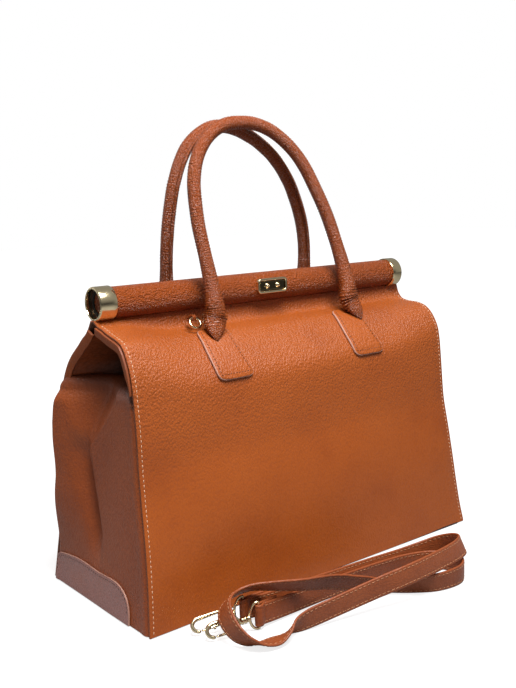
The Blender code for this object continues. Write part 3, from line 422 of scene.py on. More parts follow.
def makeTintGroup():
    # Colour of dyed leather: clouds of deeper and paler dye, with painted shade darkening the creases of the grain
    group, start, end = newGroup(
        "dyeClouds",
        [("Vector", "Vector", None), ("Colour", "Color", (0.5, 0.2, 0.1, 1)), ("Deep", "Color", (0.3, 0.1, 0.05, 1)),
         ("Pale", "Color", (0.7, 0.3, 0.2, 1)), ("Cloud Size", "Float", 0.05), ("Crease", "Float", 0.0),
         ("Crease Share", "Float", 0.4)],
        [("Colour", "Color")])
    scaled = sized(group, start.outputs["Vector"], start.outputs["Cloud Size"])
    cloud = put(group, "TexNoise", {"Vector": scaled, "Scale": 1.0, "Detail": 4.0, "Roughness": 0.55}).outputs[0]
    deep = remap(group, cloud, 0.50, 0.74, 0.0, 0.55)
    pale = remap(group, cloud, 0.46, 0.26, 0.0, 0.45)
    first = mixColour(group, deep, start.outputs["Colour"], start.outputs["Deep"])
    second = mixColour(group, pale, first, start.outputs["Pale"])
    # painted shade: the creases of the grain are coloured deeper
    share = mathNode(group, "MULTIPLY", start.outputs["Crease"], start.outputs["Crease Share"])
    group.links.new(mixColour(group, share, second, start.outputs["Deep"]), end.inputs["Colour"])
    return group


def makeSmudgeGroup():
    # Faint handling marks on polished metal: fine hairlines and wider smears, from 0 to 1
    group, start, end = newGroup("handlingMarks", [("Vector", "Vector", None), ("Size", "Float", 0.01)],
                                 [("Marks", "Float")])
    scaled = sized(group, start.outputs["Vector"], start.outputs["Size"])
    smear = put(group, "TexNoise", {"Vector": scaled, "Scale": 1.0, "Detail": 4.0}).outputs[0]
    drawn = vector(group, "MULTIPLY", {0: scaled, 1: (1.0, 14.0, 14.0)})
    hair = put(group, "TexNoise", {"Vector": drawn, "Scale": 2.0, "Detail": 2.0}).outputs[0]
    both = mathNode(group, "ADD", mathNode(group, "MULTIPLY", smear, 0.7), mathNode(group, "MULTIPLY", hair, 0.3))
    group.links.new(remap(group, both, 0.35, 0.70), end.inputs["Marks"])
    return group


pebbleGroup = makePebbleGroup()
tintGroup = makeTintGroup()
smudgeGroup = makeSmudgeGroup()


def newMaterial(name):
    material = bpy.data.materials.new(name)
    material.use_nodes = True
    tree = material.node_tree
    return material, tree, tree.nodes["Principled BSDF"]


def coordinates(tree, kind):
    return put(tree, "TexCoord").outputs["UV" if kind == "uv" else "Object"]


def leather(name, look):
    material, tree, shader = newMaterial(name)
    place = coordinates(tree, look.get("by", "uv"))
    grain = placeGroup(tree, pebbleGroup, {
        "Vector": place, "Size": look["grainSize"], "Stretch": look["stretch"], "Warp": look["warp"]})
    tint = placeGroup(tree, tintGroup, {
        "Vector": place, "Colour": (*look["colour"], 1), "Deep": (*look["deep"], 1), "Pale": (*look["pale"], 1),
        "Cloud Size": look["cloud"], "Crease": grain.outputs["Crease"], "Crease Share": look["creaseShare"]})
    colour = tint.outputs["Colour"]
    if "shade" in look:
        # painted shade: the leather is coloured darker towards the bottom of the fold, which lies in the shade of the
        # hollow
        axis, first, last = look["shade"]
        dark = look.get("shadeColour", look["deep"])
        colour = mixColour(tree, remap(tree, part(tree, place, axis), first, last, 0.0, 0.93), colour, (*dark, 1))
    strength = 1.0
    if "fade" in look:
        # the grain is pressed flat towards the base
        low, high, least = look["fade"]
        strength = remap(tree, part(tree, place, "Y"), low, high, least, strength)
    height = grain.outputs["Height"]
    feed(tree, shader, {
        "Base Color": colour, "Roughness": remap(tree, height, 0.2, 1.0, look["rough"] + 0.10, look["rough"] - 0.05),
        "Normal": bumpy(tree, height, strength, look["grainDepth"]), "Specular IOR Level": look["specular"]})
    return material


tanLook = {
    "colour": (0.360, 0.078, 0.009), "deep": (0.250, 0.046, 0.005), "pale": (0.415, 0.098, 0.014),
    "cloud": 0.075, "creaseShare": 0.24, "rough": 0.36, "grainSize": 0.0014, "stretch": 1.50, "warp": 0.10,
    "grainDepth": 0.0010, "specular": 0.42,
}


def variant(base, **changes):
    return {**base, **changes}


panelLeather = leather("panel leather", variant(tanLook, fade=(0.10, 0.24, 0.20)))
# Painted shade: the gusset leather is coloured darker than the tan for the ends, which face away from the lamp
gussetLeather = leather("gusset leather", variant(
    tanLook, colour=(0.310, 0.063, 0.010), deep=(0.20, 0.036, 0.008), grainSize=0.0015, grainDepth=0.00040, rough=0.38,
    specular=0.5, shade=("Y", 0.176, 0.198), shadeColour=(0.050, 0.012, 0.005)))
bindingLeather = leather("binding leather", variant(
    tanLook, colour=(0.300, 0.066, 0.012), grainSize=0.0018, grainDepth=0.00025, rough=0.42, specular=0.25))
# Painted shade: the upper folds lie in the hollow under the flaps, so their leather is a darker copy of the tan, going
# to near black towards the crease
shadedFoldLeather = leather("fold leather", variant(
    tanLook, colour=(0.230, 0.046, 0.009), deep=(0.012, 0.004, 0.002), grainSize=0.0022, grainDepth=0.00030, rough=0.45,
    specular=0.25, shade=("X", 0.0, 0.034)))
# Painted reflection: the patch's colour is tinted mauve for the sheen of the pale floor on it at a grazing angle
sheenPatchLeather = leather("patch leather with painted sheen", variant(
    tanLook, colour=(0.340, 0.125, 0.100), deep=(0.25, 0.080, 0.060), grainSize=0.0014, grainDepth=0.00018, rough=0.24,
    specular=1.0))
handleLeather = leather("handle leather", variant(
    tanLook, colour=(0.250, 0.050, 0.007), grainSize=0.0015, stretch=0.60, grainDepth=0.00110, warp=0.3, rough=0.22,
    creaseShare=0.40, specular=0.55))
tubeLeather = leather("tube leather", variant(
    tanLook, colour=(0.300, 0.060, 0.008), grainSize=0.0019, stretch=0.60, grainDepth=0.00190, warp=0.25, rough=0.28,
    creaseShare=0.40, specular=0.35))
tabLeather = leather("tab leather", variant(tanLook, grainSize=0.0016, grainDepth=0.00060, rough=0.38))
strapLeather = leather("strap leather", variant(
    tanLook, colour=(0.300, 0.072, 0.020), deep=(0.19, 0.042, 0.013), pale=(0.36, 0.10, 0.03), grainSize=0.0016,
    grainDepth=0.00022, rough=0.38, cloud=0.03))
darkEdge = leather("painted edge", variant(
    tanLook, by="object", colour=(0.045, 0.014, 0.010), deep=(0.02, 0.007, 0.006), pale=(0.08, 0.025, 0.015),
    grainSize=0.0012, grainDepth=0.00008, rough=0.45))
brownEdge = leather("brown edge", variant(
    tanLook, by="object", colour=(0.210, 0.050, 0.014), deep=(0.13, 0.03, 0.010), grainSize=0.0012,
    grainDepth=0.00008, rough=0.45))
# Cut edges: paler than the face, and lightened further as a painted highlight where the edge catches the light
paleEdge = leather("pale edge with painted highlight", variant(
    tanLook, by="object", colour=(0.500, 0.270, 0.200), deep=(0.34, 0.16, 0.11), pale=(0.58, 0.36, 0.28),
    grainSize=0.0009, grainDepth=0.00010, rough=0.50))
suede = leather("suede lining", variant(
    tanLook, colour=(0.16, 0.075, 0.045), deep=(0.10, 0.045, 0.03), pale=(0.22, 0.11, 0.07), grainSize=0.0008,
    grainDepth=0.0001, rough=0.85, specular=0.2))


def threadMaterial(name, colour):
    # Waxed thread: a twist of fine slanted bands along each stitch, darker between the bands as painted shade in the
    # twist's grooves
    material, tree, shader = newMaterial(name)
    place = coordinates(tree, "uv")
    bands = put(tree, "TexWave", {"Vector": place, "Scale": 260.0, "Distortion": 0.6}, bands_direction="DIAGONAL")
    twist = bands.outputs["Fac"]
    dark = tuple(c * 0.62 for c in colour)
    feed(tree, shader, {
        "Base Color": mixColour(tree, remap(tree, twist, 0.1, 0.9), (*dark, 1), (*colour, 1)), "Roughness": 0.6,
        "Normal": bumpy(tree, twist, 0.5, 0.0001)})
    return material


paleThread = threadMaterial("pale thread", (0.76, 0.46, 0.30))
brownThread = threadMaterial("brown thread", (0.085, 0.028, 0.014))
strapThread = threadMaterial("strap thread", (0.52, 0.22, 0.10))


def metal(name, colour, rough, marks=0.10):
    material, tree, shader = newMaterial(name)
    place = coordinates(tree, "object")
    smudge = placeGroup(tree, smudgeGroup, {"Vector": place, "Size": 0.006}).outputs["Marks"]
    dull = tuple(c * 0.88 for c in colour)
    feed(tree, shader, {
        "Base Color": mixColour(tree, smudge, (*colour, 1), (*dull, 1)), "Metallic": 1.0,
        "Roughness": remap(tree, smudge, 0, 1, rough, rough + marks), "Normal": bumpy(tree, smudge, 0.15, 0.00004)})
    return material


gold = metal("pale gold", (0.84, 0.70, 0.44), 0.12)
lockGold = metal("lock plate gold", (0.17, 0.13, 0.075), 0.08)
steel = metal("blackened steel", (0.16, 0.15, 0.14), 0.35)


def boardMaterial(name, low, high):
    material, tree, shader = newMaterial(name)
    place = coordinates(tree, "object")
    fibre = put(tree, "TexNoise", {"Vector": place, "Scale": 900.0, "Detail": 4.0}).outputs[0]
    dark, pale = ((level, level * 0.9, level * 0.8, 1) for level in (low, high))
    feed(tree, shader, {"Base Color": mixColour(tree, fibre, dark, pale), "Roughness": 0.9,
                        "Normal": bumpy(tree, fibre, 0.3, 0.0002)})
    return material


boardLook = boardMaterial("grey board", 0.16, 0.26)
# Painted shadow: the cores are coloured near black, so the strip of core seen between the tube and the roof reads as
# the shadow under the tube
shadowCoreLook = boardMaterial("core in painted shadow", 0.010, 0.022)
print("materials made")

# Shoulder strap: middle line from end A to end B as x, y, height and lean from upright in degrees
strapRoute = np.array([
    (-0.1180, -0.1105, 0.0123, 0), (-0.1030, -0.1110, 0.0112, 0), (-0.0266, -0.1130, 0.0091, -9),
    (0.0188, -0.1160, 0.0091, -9), (0.0520, -0.1205, 0.0100, -6), (0.0730, -0.1265, 0.0132, 0),
    (0.0860, -0.1375, 0.0190, 9), (0.0900, -0.1520, 0.0245, 18), (0.0850, -0.1645, 0.0278, 22),
    (0.0690, -0.1722, 0.0284, 13), (0.0112, -0.1768, 0.0272, 3), (-0.0230, -0.1675, 0.0207, 0),
    (-0.0631, -0.1580, 0.0132, -4), (-0.0890, -0.1535, 0.0093, -10), (-0.1015, -0.1528, 0.0077, -30),
    (-0.1110, -0.1540, 0.0048, -60), (-0.1203, -0.1537, 0.0027, -80), (-0.1315, -0.1520, 0.0033, -72),
    (-0.1405, -0.1480, 0.0064, -46), (-0.1465, -0.1405, 0.0118, -14), (-0.1480, -0.1315, 0.0184, 14),
    (-0.1448, -0.1222, 0.0240, 33), (-0.1372, -0.1154, 0.0270, 40), (-0.1265, -0.1125, 0.0290, 48),
    (-0.1140, -0.1155, 0.0310, 52), (-0.0990, -0.1240, 0.0308, 46), (-0.0768, -0.1335, 0.0281, 38),
    (-0.0498, -0.1385, 0.0240, 31), (-0.0248, -0.1420, 0.0166, 28), (0.0005, -0.1500, 0.0096, 28),
    (0.0203, -0.1645, 0.0087, 22), (0.0423, -0.1765, 0.0091, 10), (0.0680, -0.1775, 0.0092, 2),
    (0.0808, -0.1675, 0.0092, 0), (0.0810, -0.1530, 0.0092, -2), (0.0720, -0.1405, 0.0092, -5),
    (0.0540, -0.1310, 0.0092, -8), (0.0178, -0.1250, 0.0092, -9), (-0.1000, -0.1256, 0.0112, 0),
    (-0.1150, -0.1265, 0.0123, 0),
])
strapForm = {
    "width": 0.0180, "thickness": 0.0019, "rows": 420, "trim": 0.0052, "edgeRound": 0.00055,
    "stitchInset": 0.0024, "stitch": (0.0042, 0.0030, 0.00034, 0.08),
}


def routeLine(route, samples):
    # Cubic from point to point, with knots at the square root of the spacing and slopes from both neighbours
    gaps = np.sqrt(np.linalg.norm(np.diff(route[:, :3], axis=0), axis=1))
    slopes = np.diff(route, axis=0) / gaps[:, None]
    inner = (slopes[:-1] * gaps[1:, None] + slopes[1:] * gaps[:-1, None]) / (gaps[1:] + gaps[:-1])[:, None]
    tangents = np.concatenate([slopes[:1], inner, slopes[-1:]])
    t = np.linspace(0, 1, samples, endpoint=False)[None, :, None]
    span = gaps[:, None, None]
    a, b = route[:-1, None], route[1:, None]
    ta, tb = tangents[:-1, None] * span, tangents[1:, None] * span
    dense = ((2 * t ** 3 - 3 * t ** 2 + 1) * a + (t ** 3 - 2 * t ** 2 + t) * ta
             + (3 * t ** 2 - 2 * t ** 3) * b + (t ** 3 - t ** 2) * tb)
    return np.concatenate([dense.reshape(-1, 4), route[-1:]])


def strapFrames(line, lean):
    # Way across the strap's width, and way out of its face
    run = wayAlong(line)
    across = unit(np.cross(run, (0, 0, 1.0)))
    upright = np.cross(across, run)
    turn = np.radians(lean)[:, None]
    return upright * np.cos(turn) + across * np.sin(turn), across * np.cos(turn) - upright * np.sin(turn)


def bandSection(width, thickness, edge, dent=0.00012):
    # Flat band: its faces dip a little along the rows of stitches and its edges are rounded
    w, t = width / 2, thickness / 2
    inset = strapForm["stitchInset"]
    half = [(w, 0.0), (w - edge * 0.2, t * 0.62), (w - edge, t), (w - inset + 0.0007, t), (w - inset, t - dent),
            (w - inset - 0.0007, t), (w * 0.35, t + 0.00006), (0, t + 0.00008)]
    half = np.array(half)
    mirror = half[-2::-1] * (-1, 1)
    top = np.concatenate([half, mirror])
    return np.concatenate([top, top[-2:0:-1] * (1, -1)])


def markEdges(mesh, section):
    # The band's rounded edges take the second material
    middles = np.abs(np.roll(section, -1, 0)[:, 0] + section[:, 0]) / 2
    edges = middles > strapForm["width"] / 2 - strapForm["edgeRound"] * 1.01
    setLooks(mesh, len(section), edges.astype(int))


def makeStrap():
    form = strapForm
    dense = routeLine(strapRoute, 40)
    lengths = runLengths(dense[:, :3])
    full = readAlong(dense, lengths, np.linspace(form["trim"], lengths[-1] - form["trim"], form["rows"]))
    line, lean = full[:, :3], full[:, 3]
    wide, thin = strapFrames(line, lean)
    section = bandSection(form["width"], form["thickness"], form["edgeRound"])
    # with the face's way as up, the sweep's across is the band's width
    mesh = sweep("strap_strip", line, thin, section)
    markEdges(mesh, section)
    band = addPiece("strap_strip", mesh, [strapLeather, paleEdge], ["strap_band"], "strap")
    rows = []
    for face in (-1, 1):
        for edge in (-1, 1):
            offset = form["width"] / 2 - form["stitchInset"]
            course = line + wide * offset * edge + thin * (form["thickness"] / 2 - 0.00004) * face
            rows.append(stitchLine(course, thin * face, *form["stitch"]))
    addPiece("strap_stitches", joinMeshes("strap_stitches", rows), [strapThread], (), "strap")
    return band, line, lengths[-1]


strapBand, strapPath, strapLength = makeStrap()

# Snap hooks at the strap's ends: eye, swivel barrel, hook and gate, and the strap's folded end round the eye's bar
hookForm = {
    "ways": {"a": (-0.950, 0.250, -0.125), "b": (-0.955, 0.265, -0.125)},
    "eyeWire": 0.0011, "eyeClearance": 0.0009, "eyeReach": 0.0078, "headRadius": 0.0026, "headLength": 0.0032,
    "barrelRadius": 0.0030, "barrelLength": 0.0062, "hookWire": 0.0017, "hookLength": 0.0345, "hookWidth": 0.0136,
    "gateWire": 0.0012, "gap": 0.0003, "endLength": 0.021, "roll": {"a": -52, "b": -58},
    "stitchPlace": -0.0075, "stitchHalf": 0.0066, "stitch": (0.0034, 0.0024, 0.00032),
}


def turnedFrame(start, way, upright=False):
    # Own X along the way, own Y across, own Z up
    run = Vector((way[0], way[1], 0.0 if upright else way[2])).normalized()
    across = Vector((0.0, 0.0, 1.0)).cross(run).normalized()
    return Matrix.Translation(start) @ Matrix((run, across, run.cross(across))).transposed().to_4x4()


def roundCorners(points, count):
    # Dense smooth line through a few points
    return evenly(through(points, np.linspace(0, 1, count * 6)), count)


def makeEye(label, eyeFrame, lying):
    # D of wire with a straight bar for the strap, and a head that the hook's barrel turns on
    form = hookForm
    half = strapForm["width"] / 2 + form["eyeClearance"] + form["eyeWire"]
    reach, wire = form["eyeReach"], form["eyeWire"]
    turn = np.linspace(math.pi / 2, -math.pi / 2, 40)
    bow = stacked(wire + reach * np.cos(turn) * (1 - wire / reach), 0.0, half * np.sin(turn))
    bar = stacked(0.0, 0.0, np.linspace(-half, half, 24))
    ring = evenly(np.concatenate([bar, bow, bar[:1]]), 97)[:-1]
    eye = sweep("eye", ring, (0, 1, 0), ellipse(wire, wire, 12), closed=True)
    r, l = form["headRadius"], form["headLength"] / 2
    head = lathe("head", [(0.0002, -l), (r * 0.86, -l), (r, -l * 0.72), (r, l * 0.72), (r * 0.86, l), (0.0002, l)], 24)
    moveMesh(head, eyeFrame.inverted() @ lying @ Matrix.Translation((reach + wire, 0, 0)))
    mesh = moveMesh(joinMeshes("eye", [eye, head]), eyeFrame)
    return addPiece(f"hook_{label}_ring", mesh, [gold], [f"hook_{label}_eye"], "strap")


def makeHookAndGate(label, lying):
    # Turned barrel with a wire that bends round to the tip, and a slim lever that closes the opening
    form = hookForm
    begin = form["eyeReach"] + form["eyeWire"] + form["headLength"] / 2 + form["gap"]
    r, l = form["barrelRadius"], form["barrelLength"]
    profile = [(0.0002, 0), (r * 0.80, 0), (r, 0.0006), (r, 0.0015), (r * 0.82, 0.0019), (r * 0.82, 0.0026),
               (r, 0.0030), (r, 0.0040), (r * 0.78, 0.0050), (r * 0.62, l), (0.0002, l)]
    barrel = moveMesh(lathe("barrel", profile, 28), Matrix.Translation((begin, 0, 0)))
    h = form["hookWidth"] / 2 - form["hookWire"]
    base = begin + l + form["hookWire"] * 0.5
    tip = begin + form["hookLength"] - form["hookWire"]
    bend = tip - h * 1.2
    points = [(base + form["hookWire"], h * 0.93, 0), (base, h * 0.5, 0), (base - 0.0006, 0, 0), (base, -h * 0.5, 0),
              (base + h * 0.45, -h * 0.92, 0), (base + h, -h, 0), (bend, -h, 0)]
    turn = np.linspace(-math.pi / 2, math.pi * 0.46, 10)[1:]
    points += [(bend + math.cos(a) * h * 1.2, math.sin(a) * h, 0.0) for a in turn]
    line = roundCorners(points, 90)
    share = np.linspace(0, 1, 90)
    girth = form["hookWire"] * (0.80 + 0.25 * bell((share - 0.62) / 0.25))
    girth = girth * np.minimum(1, np.minimum(share, 1 - share) * 26 + 0.45)
    section = ellipse(1, 1.0, 14)[None] * np.stack([girth, girth * 1.02], -1)[:, None]
    wireMesh = sweep("wire", line, (0, 0, 1), section)
    mesh = moveMesh(joinMeshes("hook", [barrel, wireMesh]), lying)
    hookPiece = addPiece(f"hook_{label}_body", mesh, [gold], ["hook_" + label], "hook_" + label)
    root = points[0][0] + form["hookWire"] + form["gateWire"] + form["gap"]
    stop = points[-1][0] - form["hookWire"] * 0.25 - form["gap"]
    share = np.linspace(0, 1, 30)
    line = stacked(root - 0.0006 + (stop - root + 0.0006) * share, h * 0.93 + 0.0003 * np.sin(share * math.pi), 0.0)
    girth = form["gateWire"] * (0.92 - 0.22 * share) * np.minimum(1, np.minimum(share, 1 - share) * 14 + 0.4)
    lever = sweep("lever", line, (0, 0, 1), ellipse(1, 1, 12)[None] * girth[:, None, None])
    knob = lathe("knob", [(0.0001, -0.0011), (0.0009, -0.0009), (0.0012, 0), (0.0009, 0.0009), (0.0001, 0.0011)], 14)
    moveMesh(knob, Matrix.Translation((root + 0.0042, h * 0.93 + 0.0013, 0)) @ Matrix.Rotation(math.pi / 2, 4, "Z"))
    mesh = moveMesh(joinMeshes("gate", [lever, knob]), lying)
    gatePiece = addPiece(f"hook_{label}_lever", mesh, [gold], [f"hook_{label}_gate"], "gate_" + label)
    return [hookPiece, gatePiece]


def makeFoldedEnd(label, upright):
    # The band goes round the eye's bar and lies doubled, sewn through
    form = hookForm
    bore = form["eyeWire"] + form["gap"]
    thick = strapForm["thickness"]
    middle = bore + thick / 2
    turn = np.linspace(math.pi / 2, -math.pi / 2, 20)
    loop = stacked(np.cos(turn) * middle, np.sin(turn) * middle, 0.0)
    layer = thick + form["gap"]
    before = np.array([(-middle * 2.6, 0, 0), (-middle * 1.6, middle * 0.45, 0), (-middle * 0.8, middle * 0.93, 0)])
    tail = np.array([(-middle * 0.8, -middle * 0.97, 0), (-middle * 1.6, -middle * 0.92, 0),
                     (-middle * 2.6, -layer * 1.05, 0), (-form["endLength"] * 0.7, -layer, 0),
                     (-form["endLength"], -layer, 0)])
    line = roundCorners(np.concatenate([before, loop[::3], tail]), 60)
    section = bandSection(strapForm["width"], thick * 0.96, strapForm["edgeRound"])
    mesh = sweep("end", line, np.cross(wayAlong(line), (0, 0, 1.0)), section)
    markEdges(mesh, section)
    moveMesh(mesh, upright)
    endPiece = addPiece(f"strap_fold_{label}", mesh, [strapLeather, paleEdge],
                        [f"strap_end_{label}"], "strap")
    # Short row of stitches across the doubled end, on its outer face
    across = np.linspace(-form["stitchHalf"], form["stitchHalf"], 24)
    places = stacked(form["stitchPlace"], -layer - thick / 2, across)
    course = stitchLine(places, np.tile((0, -1.0, 0), (24, 1)), *form["stitch"])
    stitchPiece = addPiece(f"strap_fold_{label}_stitches", moveMesh(course, upright), [strapThread],
                           (), "strap")
    return [endPiece, stitchPiece]


def makeHook(label, start, strapWay):
    way = hookForm["ways"][label]
    lying = turnedFrame(start, way) @ Matrix.Rotation(math.radians(hookForm["roll"][label]), 4, "X")
    eyePiece = makeEye(label, turnedFrame(start, way, True), lying)
    return [eyePiece, *makeHookAndGate(label, lying), *makeFoldedEnd(label, turnedFrame(start, strapWay, True))]


hookPieces = []
for label, first, second in (("a", 0, 1), ("b", -1, -2)):
    start = Vector(strapRoute[first][:3])
    hookPieces += makeHook(label, start, start - Vector(strapRoute[second][:3]))
print("strap made")

# Long leather pieces, front and back: distance out from the middle and height, in millimetres, base to tube
lowerRows = [(82.0, 0.6), (80.9, 9), (79.9, 17), (77.3, 35), (75.0, 52), (72.8, 68), (70.4, 84), (68.0, 100)]
shellForm = {
    "middle": lowerRows + [
        (65.6, 116), (63.8, 131), (62.8, 155), (61.9, 171), (60.2, 184), (57.0, 193), (51.6, 201.2), (46.0, 208.0),
        (40.4, 214.0), (34.4, 219.4), (27.4, 223.6), (18.0, 225.8), (9.4, 227.2), (4.2, 231.8), (2.2, 242.0),
    ],
    "rightEnd": lowerRows + [
        (65.4, 116), (63.4, 131), (62.2, 157), (61.3, 175), (60.0, 192), (57.4, 203), (51.6, 213.4), (46.8, 218.6),
        (40.5, 222.6), (31.5, 225.0), (20.0, 225.8), (12.0, 227.2), (7.8, 229.8), (4.4, 234.6), (2.2, 242.0),
    ],
    "leftEnd": [
        (83.0, 0.6), (81.6, 9), (80.4, 17), (77.8, 35), (75.4, 52), (72.9, 69), (70.0, 85), (67.2, 100),
        (64.8, 116), (63.0, 131), (61.9, 157), (60.6, 177), (59.3, 195), (56.4, 208), (52.0, 217.6), (48.0, 223.2),
        (43.5, 227.2), (36.0, 230.2), (28.0, 232.4), (21.0, 234.6), (15.5, 236.6), (9.5, 238.2), (2.4, 242.0),
    ],
    "backLeftEnd": [
        (82.0, 0.6), (81.2, 9), (80.4, 17), (78.4, 35), (76.4, 52), (74.4, 69), (72.2, 85), (70.0, 100),
        (69.0, 116), (68.4, 131), (67.6, 150), (65.4, 164), (61.6, 177), (56.6, 188), (51.0, 197.0), (45.6, 204.0),
        (39.8, 209.6), (33.0, 214.6), (26.0, 219.2), (19.4, 224.0), (13.6, 228.8), (8.0, 234.2), (2.4, 242.0),
    ],
    "halfShoulder": 0.178, "halfBaseExtra": 0.011, "taperHeight": 0.170,
    "columns": 120, "rows": 140, "leather": 0.0020, "bevel": 0.0005,
    "crown": 0.0022, "rightTurn": 0.0012, "rightFull": 0.0030, "endStart": 0.098, "endRun": 0.080,
    "roofSway": 0.0011, "faceSway": 0.0006,
    "hingeStart": 0.178, "hingeEnd": 0.196, "hingeOut": 0.0602,
    "stitchInset": 0.0034, "stitch": (0.0039, 0.0026, 0.00036, 0.10),
}


def halfWidth(z):
    rest = np.maximum(0, 1 - z / shellForm["taperHeight"])
    return shellForm["halfShoulder"] + shellForm["halfBaseExtra"] * rest * rest


def shellPoint(side, share, along):
    # share runs -1 to 1 across the bag, along 0 to 1 from the base over the shoulder to the tube.
    # The section goes over from the middle's to each end's, a crown fills the face, the right edge turns away,
    # and slow waves soften the roof.
    form = shellForm
    share, along = np.broadcast_arrays(np.asarray(share, float), np.asarray(along, float))
    section = through(form["middle"], along) / 1000
    x = share * halfWidth(section[..., 1])
    for name, sign in (("leftEnd" if side == front else "backLeftEnd", left), ("rightEnd", right)):
        over = grown(sign * x, (form["endStart"], form["endRun"]))[..., None]
        section = section + (through(form[name], along) / 1000 - section) * over
    out, z = section[..., 0], section[..., 1]
    face = 1 - grown(z, (0.19, 0.03))
    out = out + form["crown"] * (1 - share ** 4) * bell((z - 0.085) / 0.055)
    out = out - form["rightTurn"] * grown(share, (0.90, 0.10)) ** 2 * face * ease(z / 0.02)
    roof = bell((z - 0.2235) / 0.006) * grown(out, (0.006, 0.014))
    sway = np.sin(x * 31 + 0.8) * 0.55 + np.sin(x * 67 + side) * 0.30 + np.sin(x * 17 - 1.1) * 0.4
    z = z + roof * sway * form["roofSway"]
    x = x + form["rightFull"] * grown(share, (0.55, 0.45)) * np.sin(np.clip(z / 0.215, 0, 1) * math.pi) ** 0.7
    sway = np.sin(x * 24 + z * 30) * 0.5 + np.sin(x * 45 - z * 52 + side * 2) * 0.35
    return stacked(x, side * (out + face * sway * form["faceSway"]), z)


def shellNormal(side, share, along):
    # Way out of the leather: across slope times upward slope
    step = 0.002
    first, last = (shellPoint(side, np.clip(share + move, -1, 1), along) for move in (-step, step))
    low, high = (shellPoint(side, share, np.clip(along + move, 0, 1)) for move in (-step, step))
    return unit(np.cross(last - first, high - low) * -side)


def alongAt(test):
    # First place along the middle section where the test on (out, height) holds
    s = np.linspace(0, 1, 4001)
    yz = through(shellForm["middle"], s) / 1000
    return s[np.argmax(test(yz[:, 0], yz[:, 1]))]


def bendOverHinge(made):
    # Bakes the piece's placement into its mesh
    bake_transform(made)


def makeShell(side):
    form = shellForm
    share = np.linspace(-1, 1, form["columns"])[None]
    along = np.linspace(0, 1, form["rows"])[:, None]
    points = shellPoint(side, share, along)
    rise = np.concatenate([np.zeros((1, form["columns"])),
                           np.linalg.norm(np.diff(points, axis=0), axis=2).cumsum(0)])
    spread = np.stack([points[..., 0], rise], -1)
    name = sideNames[side]
    mesh = gridMesh(name + "_leather", points, spread, flip=side == back)
    made = addPiece(name + "_leather", mesh, [panelLeather, suede, brownEdge],
                    [name + "_panel", name + "_flap_panel"])
    thicken(made, form["leather"], form["bevel"], 2, 1)
    bendOverHinge(made)
    rows = []
    for end in (left, right):
        s = np.linspace(0.012, 0.955, 700)
        z = shellPoint(side, end, s)[:, 2]
        inset = end * (1 - form["stitchInset"] / halfWidth(z))
        rows.append(stitchLine(shellPoint(side, inset, s), shellNormal(side, inset, s), *form["stitch"]))
    stitches = addPiece(name + "_edge_stitches", joinMeshes("stitches", rows), [paleThread])
    bendOverHinge(stitches)


for side in (front, back):
    makeShell(side)
print("long leather pieces made")

# Gussets: one leather at each end, with a tuck pressed in at the top and a valley below it
gussetForm = {
    "top": 0.1790, "columns": 176, "rows": 124, "rimRows": 24, "rimRadius": 0.0125, "leather": 0.0016,
    "apex": (0.024, 0.125), "frontTop": (-0.044, 0.194), "backTop": (0.050, 0.190), "tuckSlope": 0.70,
    "creaseBlend": 0.004, "creaseSoft": 0.0020, "ridge": 0.0009, "ridgeWidth": 0.0017,
    "valleyHeights": (0.036, 0.063, 0.100, 0.127), "valleyPlaces": (0.004, 0.007, 0.020, 0.027),
    "valleyDepth": 0.0120, "valleyWidth": 0.0074, "valleySides": (1.15, 0.62),
    "valleyFoot": (0.028, 0.05), "valleyHead": (0.112, 0.040),
    "backBulge": 0.0120, "highBulge": 0.0030, "bulgeMiddle": 0.064, "bulgeWidth": 0.032,
    "bulgeFoot": (0.012, 0.080), "highFoot": (0.100, 0.040), "bulgeHead": (0.168, 0.026),
    "fullness": 0.0022, "pull": 0.0030, "gap": 0.0002, "rimRun": 0.018, "rimDrop": 0.002, "cornerRun": 0.009,
}


def outAtHeight(z, end, side):
    name = "rightEnd" if end == right else "leftEnd" if side == front else "backLeftEnd"
    table = np.array(shellForm[name][:13]) / 1000
    return np.interp(z, table[:, 1], table[:, 0])


def gussetReach(inFront, z, end):
    # From the middle to the inner face of the long piece in front or behind
    outer = np.where(inFront, outAtHeight(z, end, front), outAtHeight(z, end, back))
    return outer - shellForm["leather"] - gussetForm["gap"]


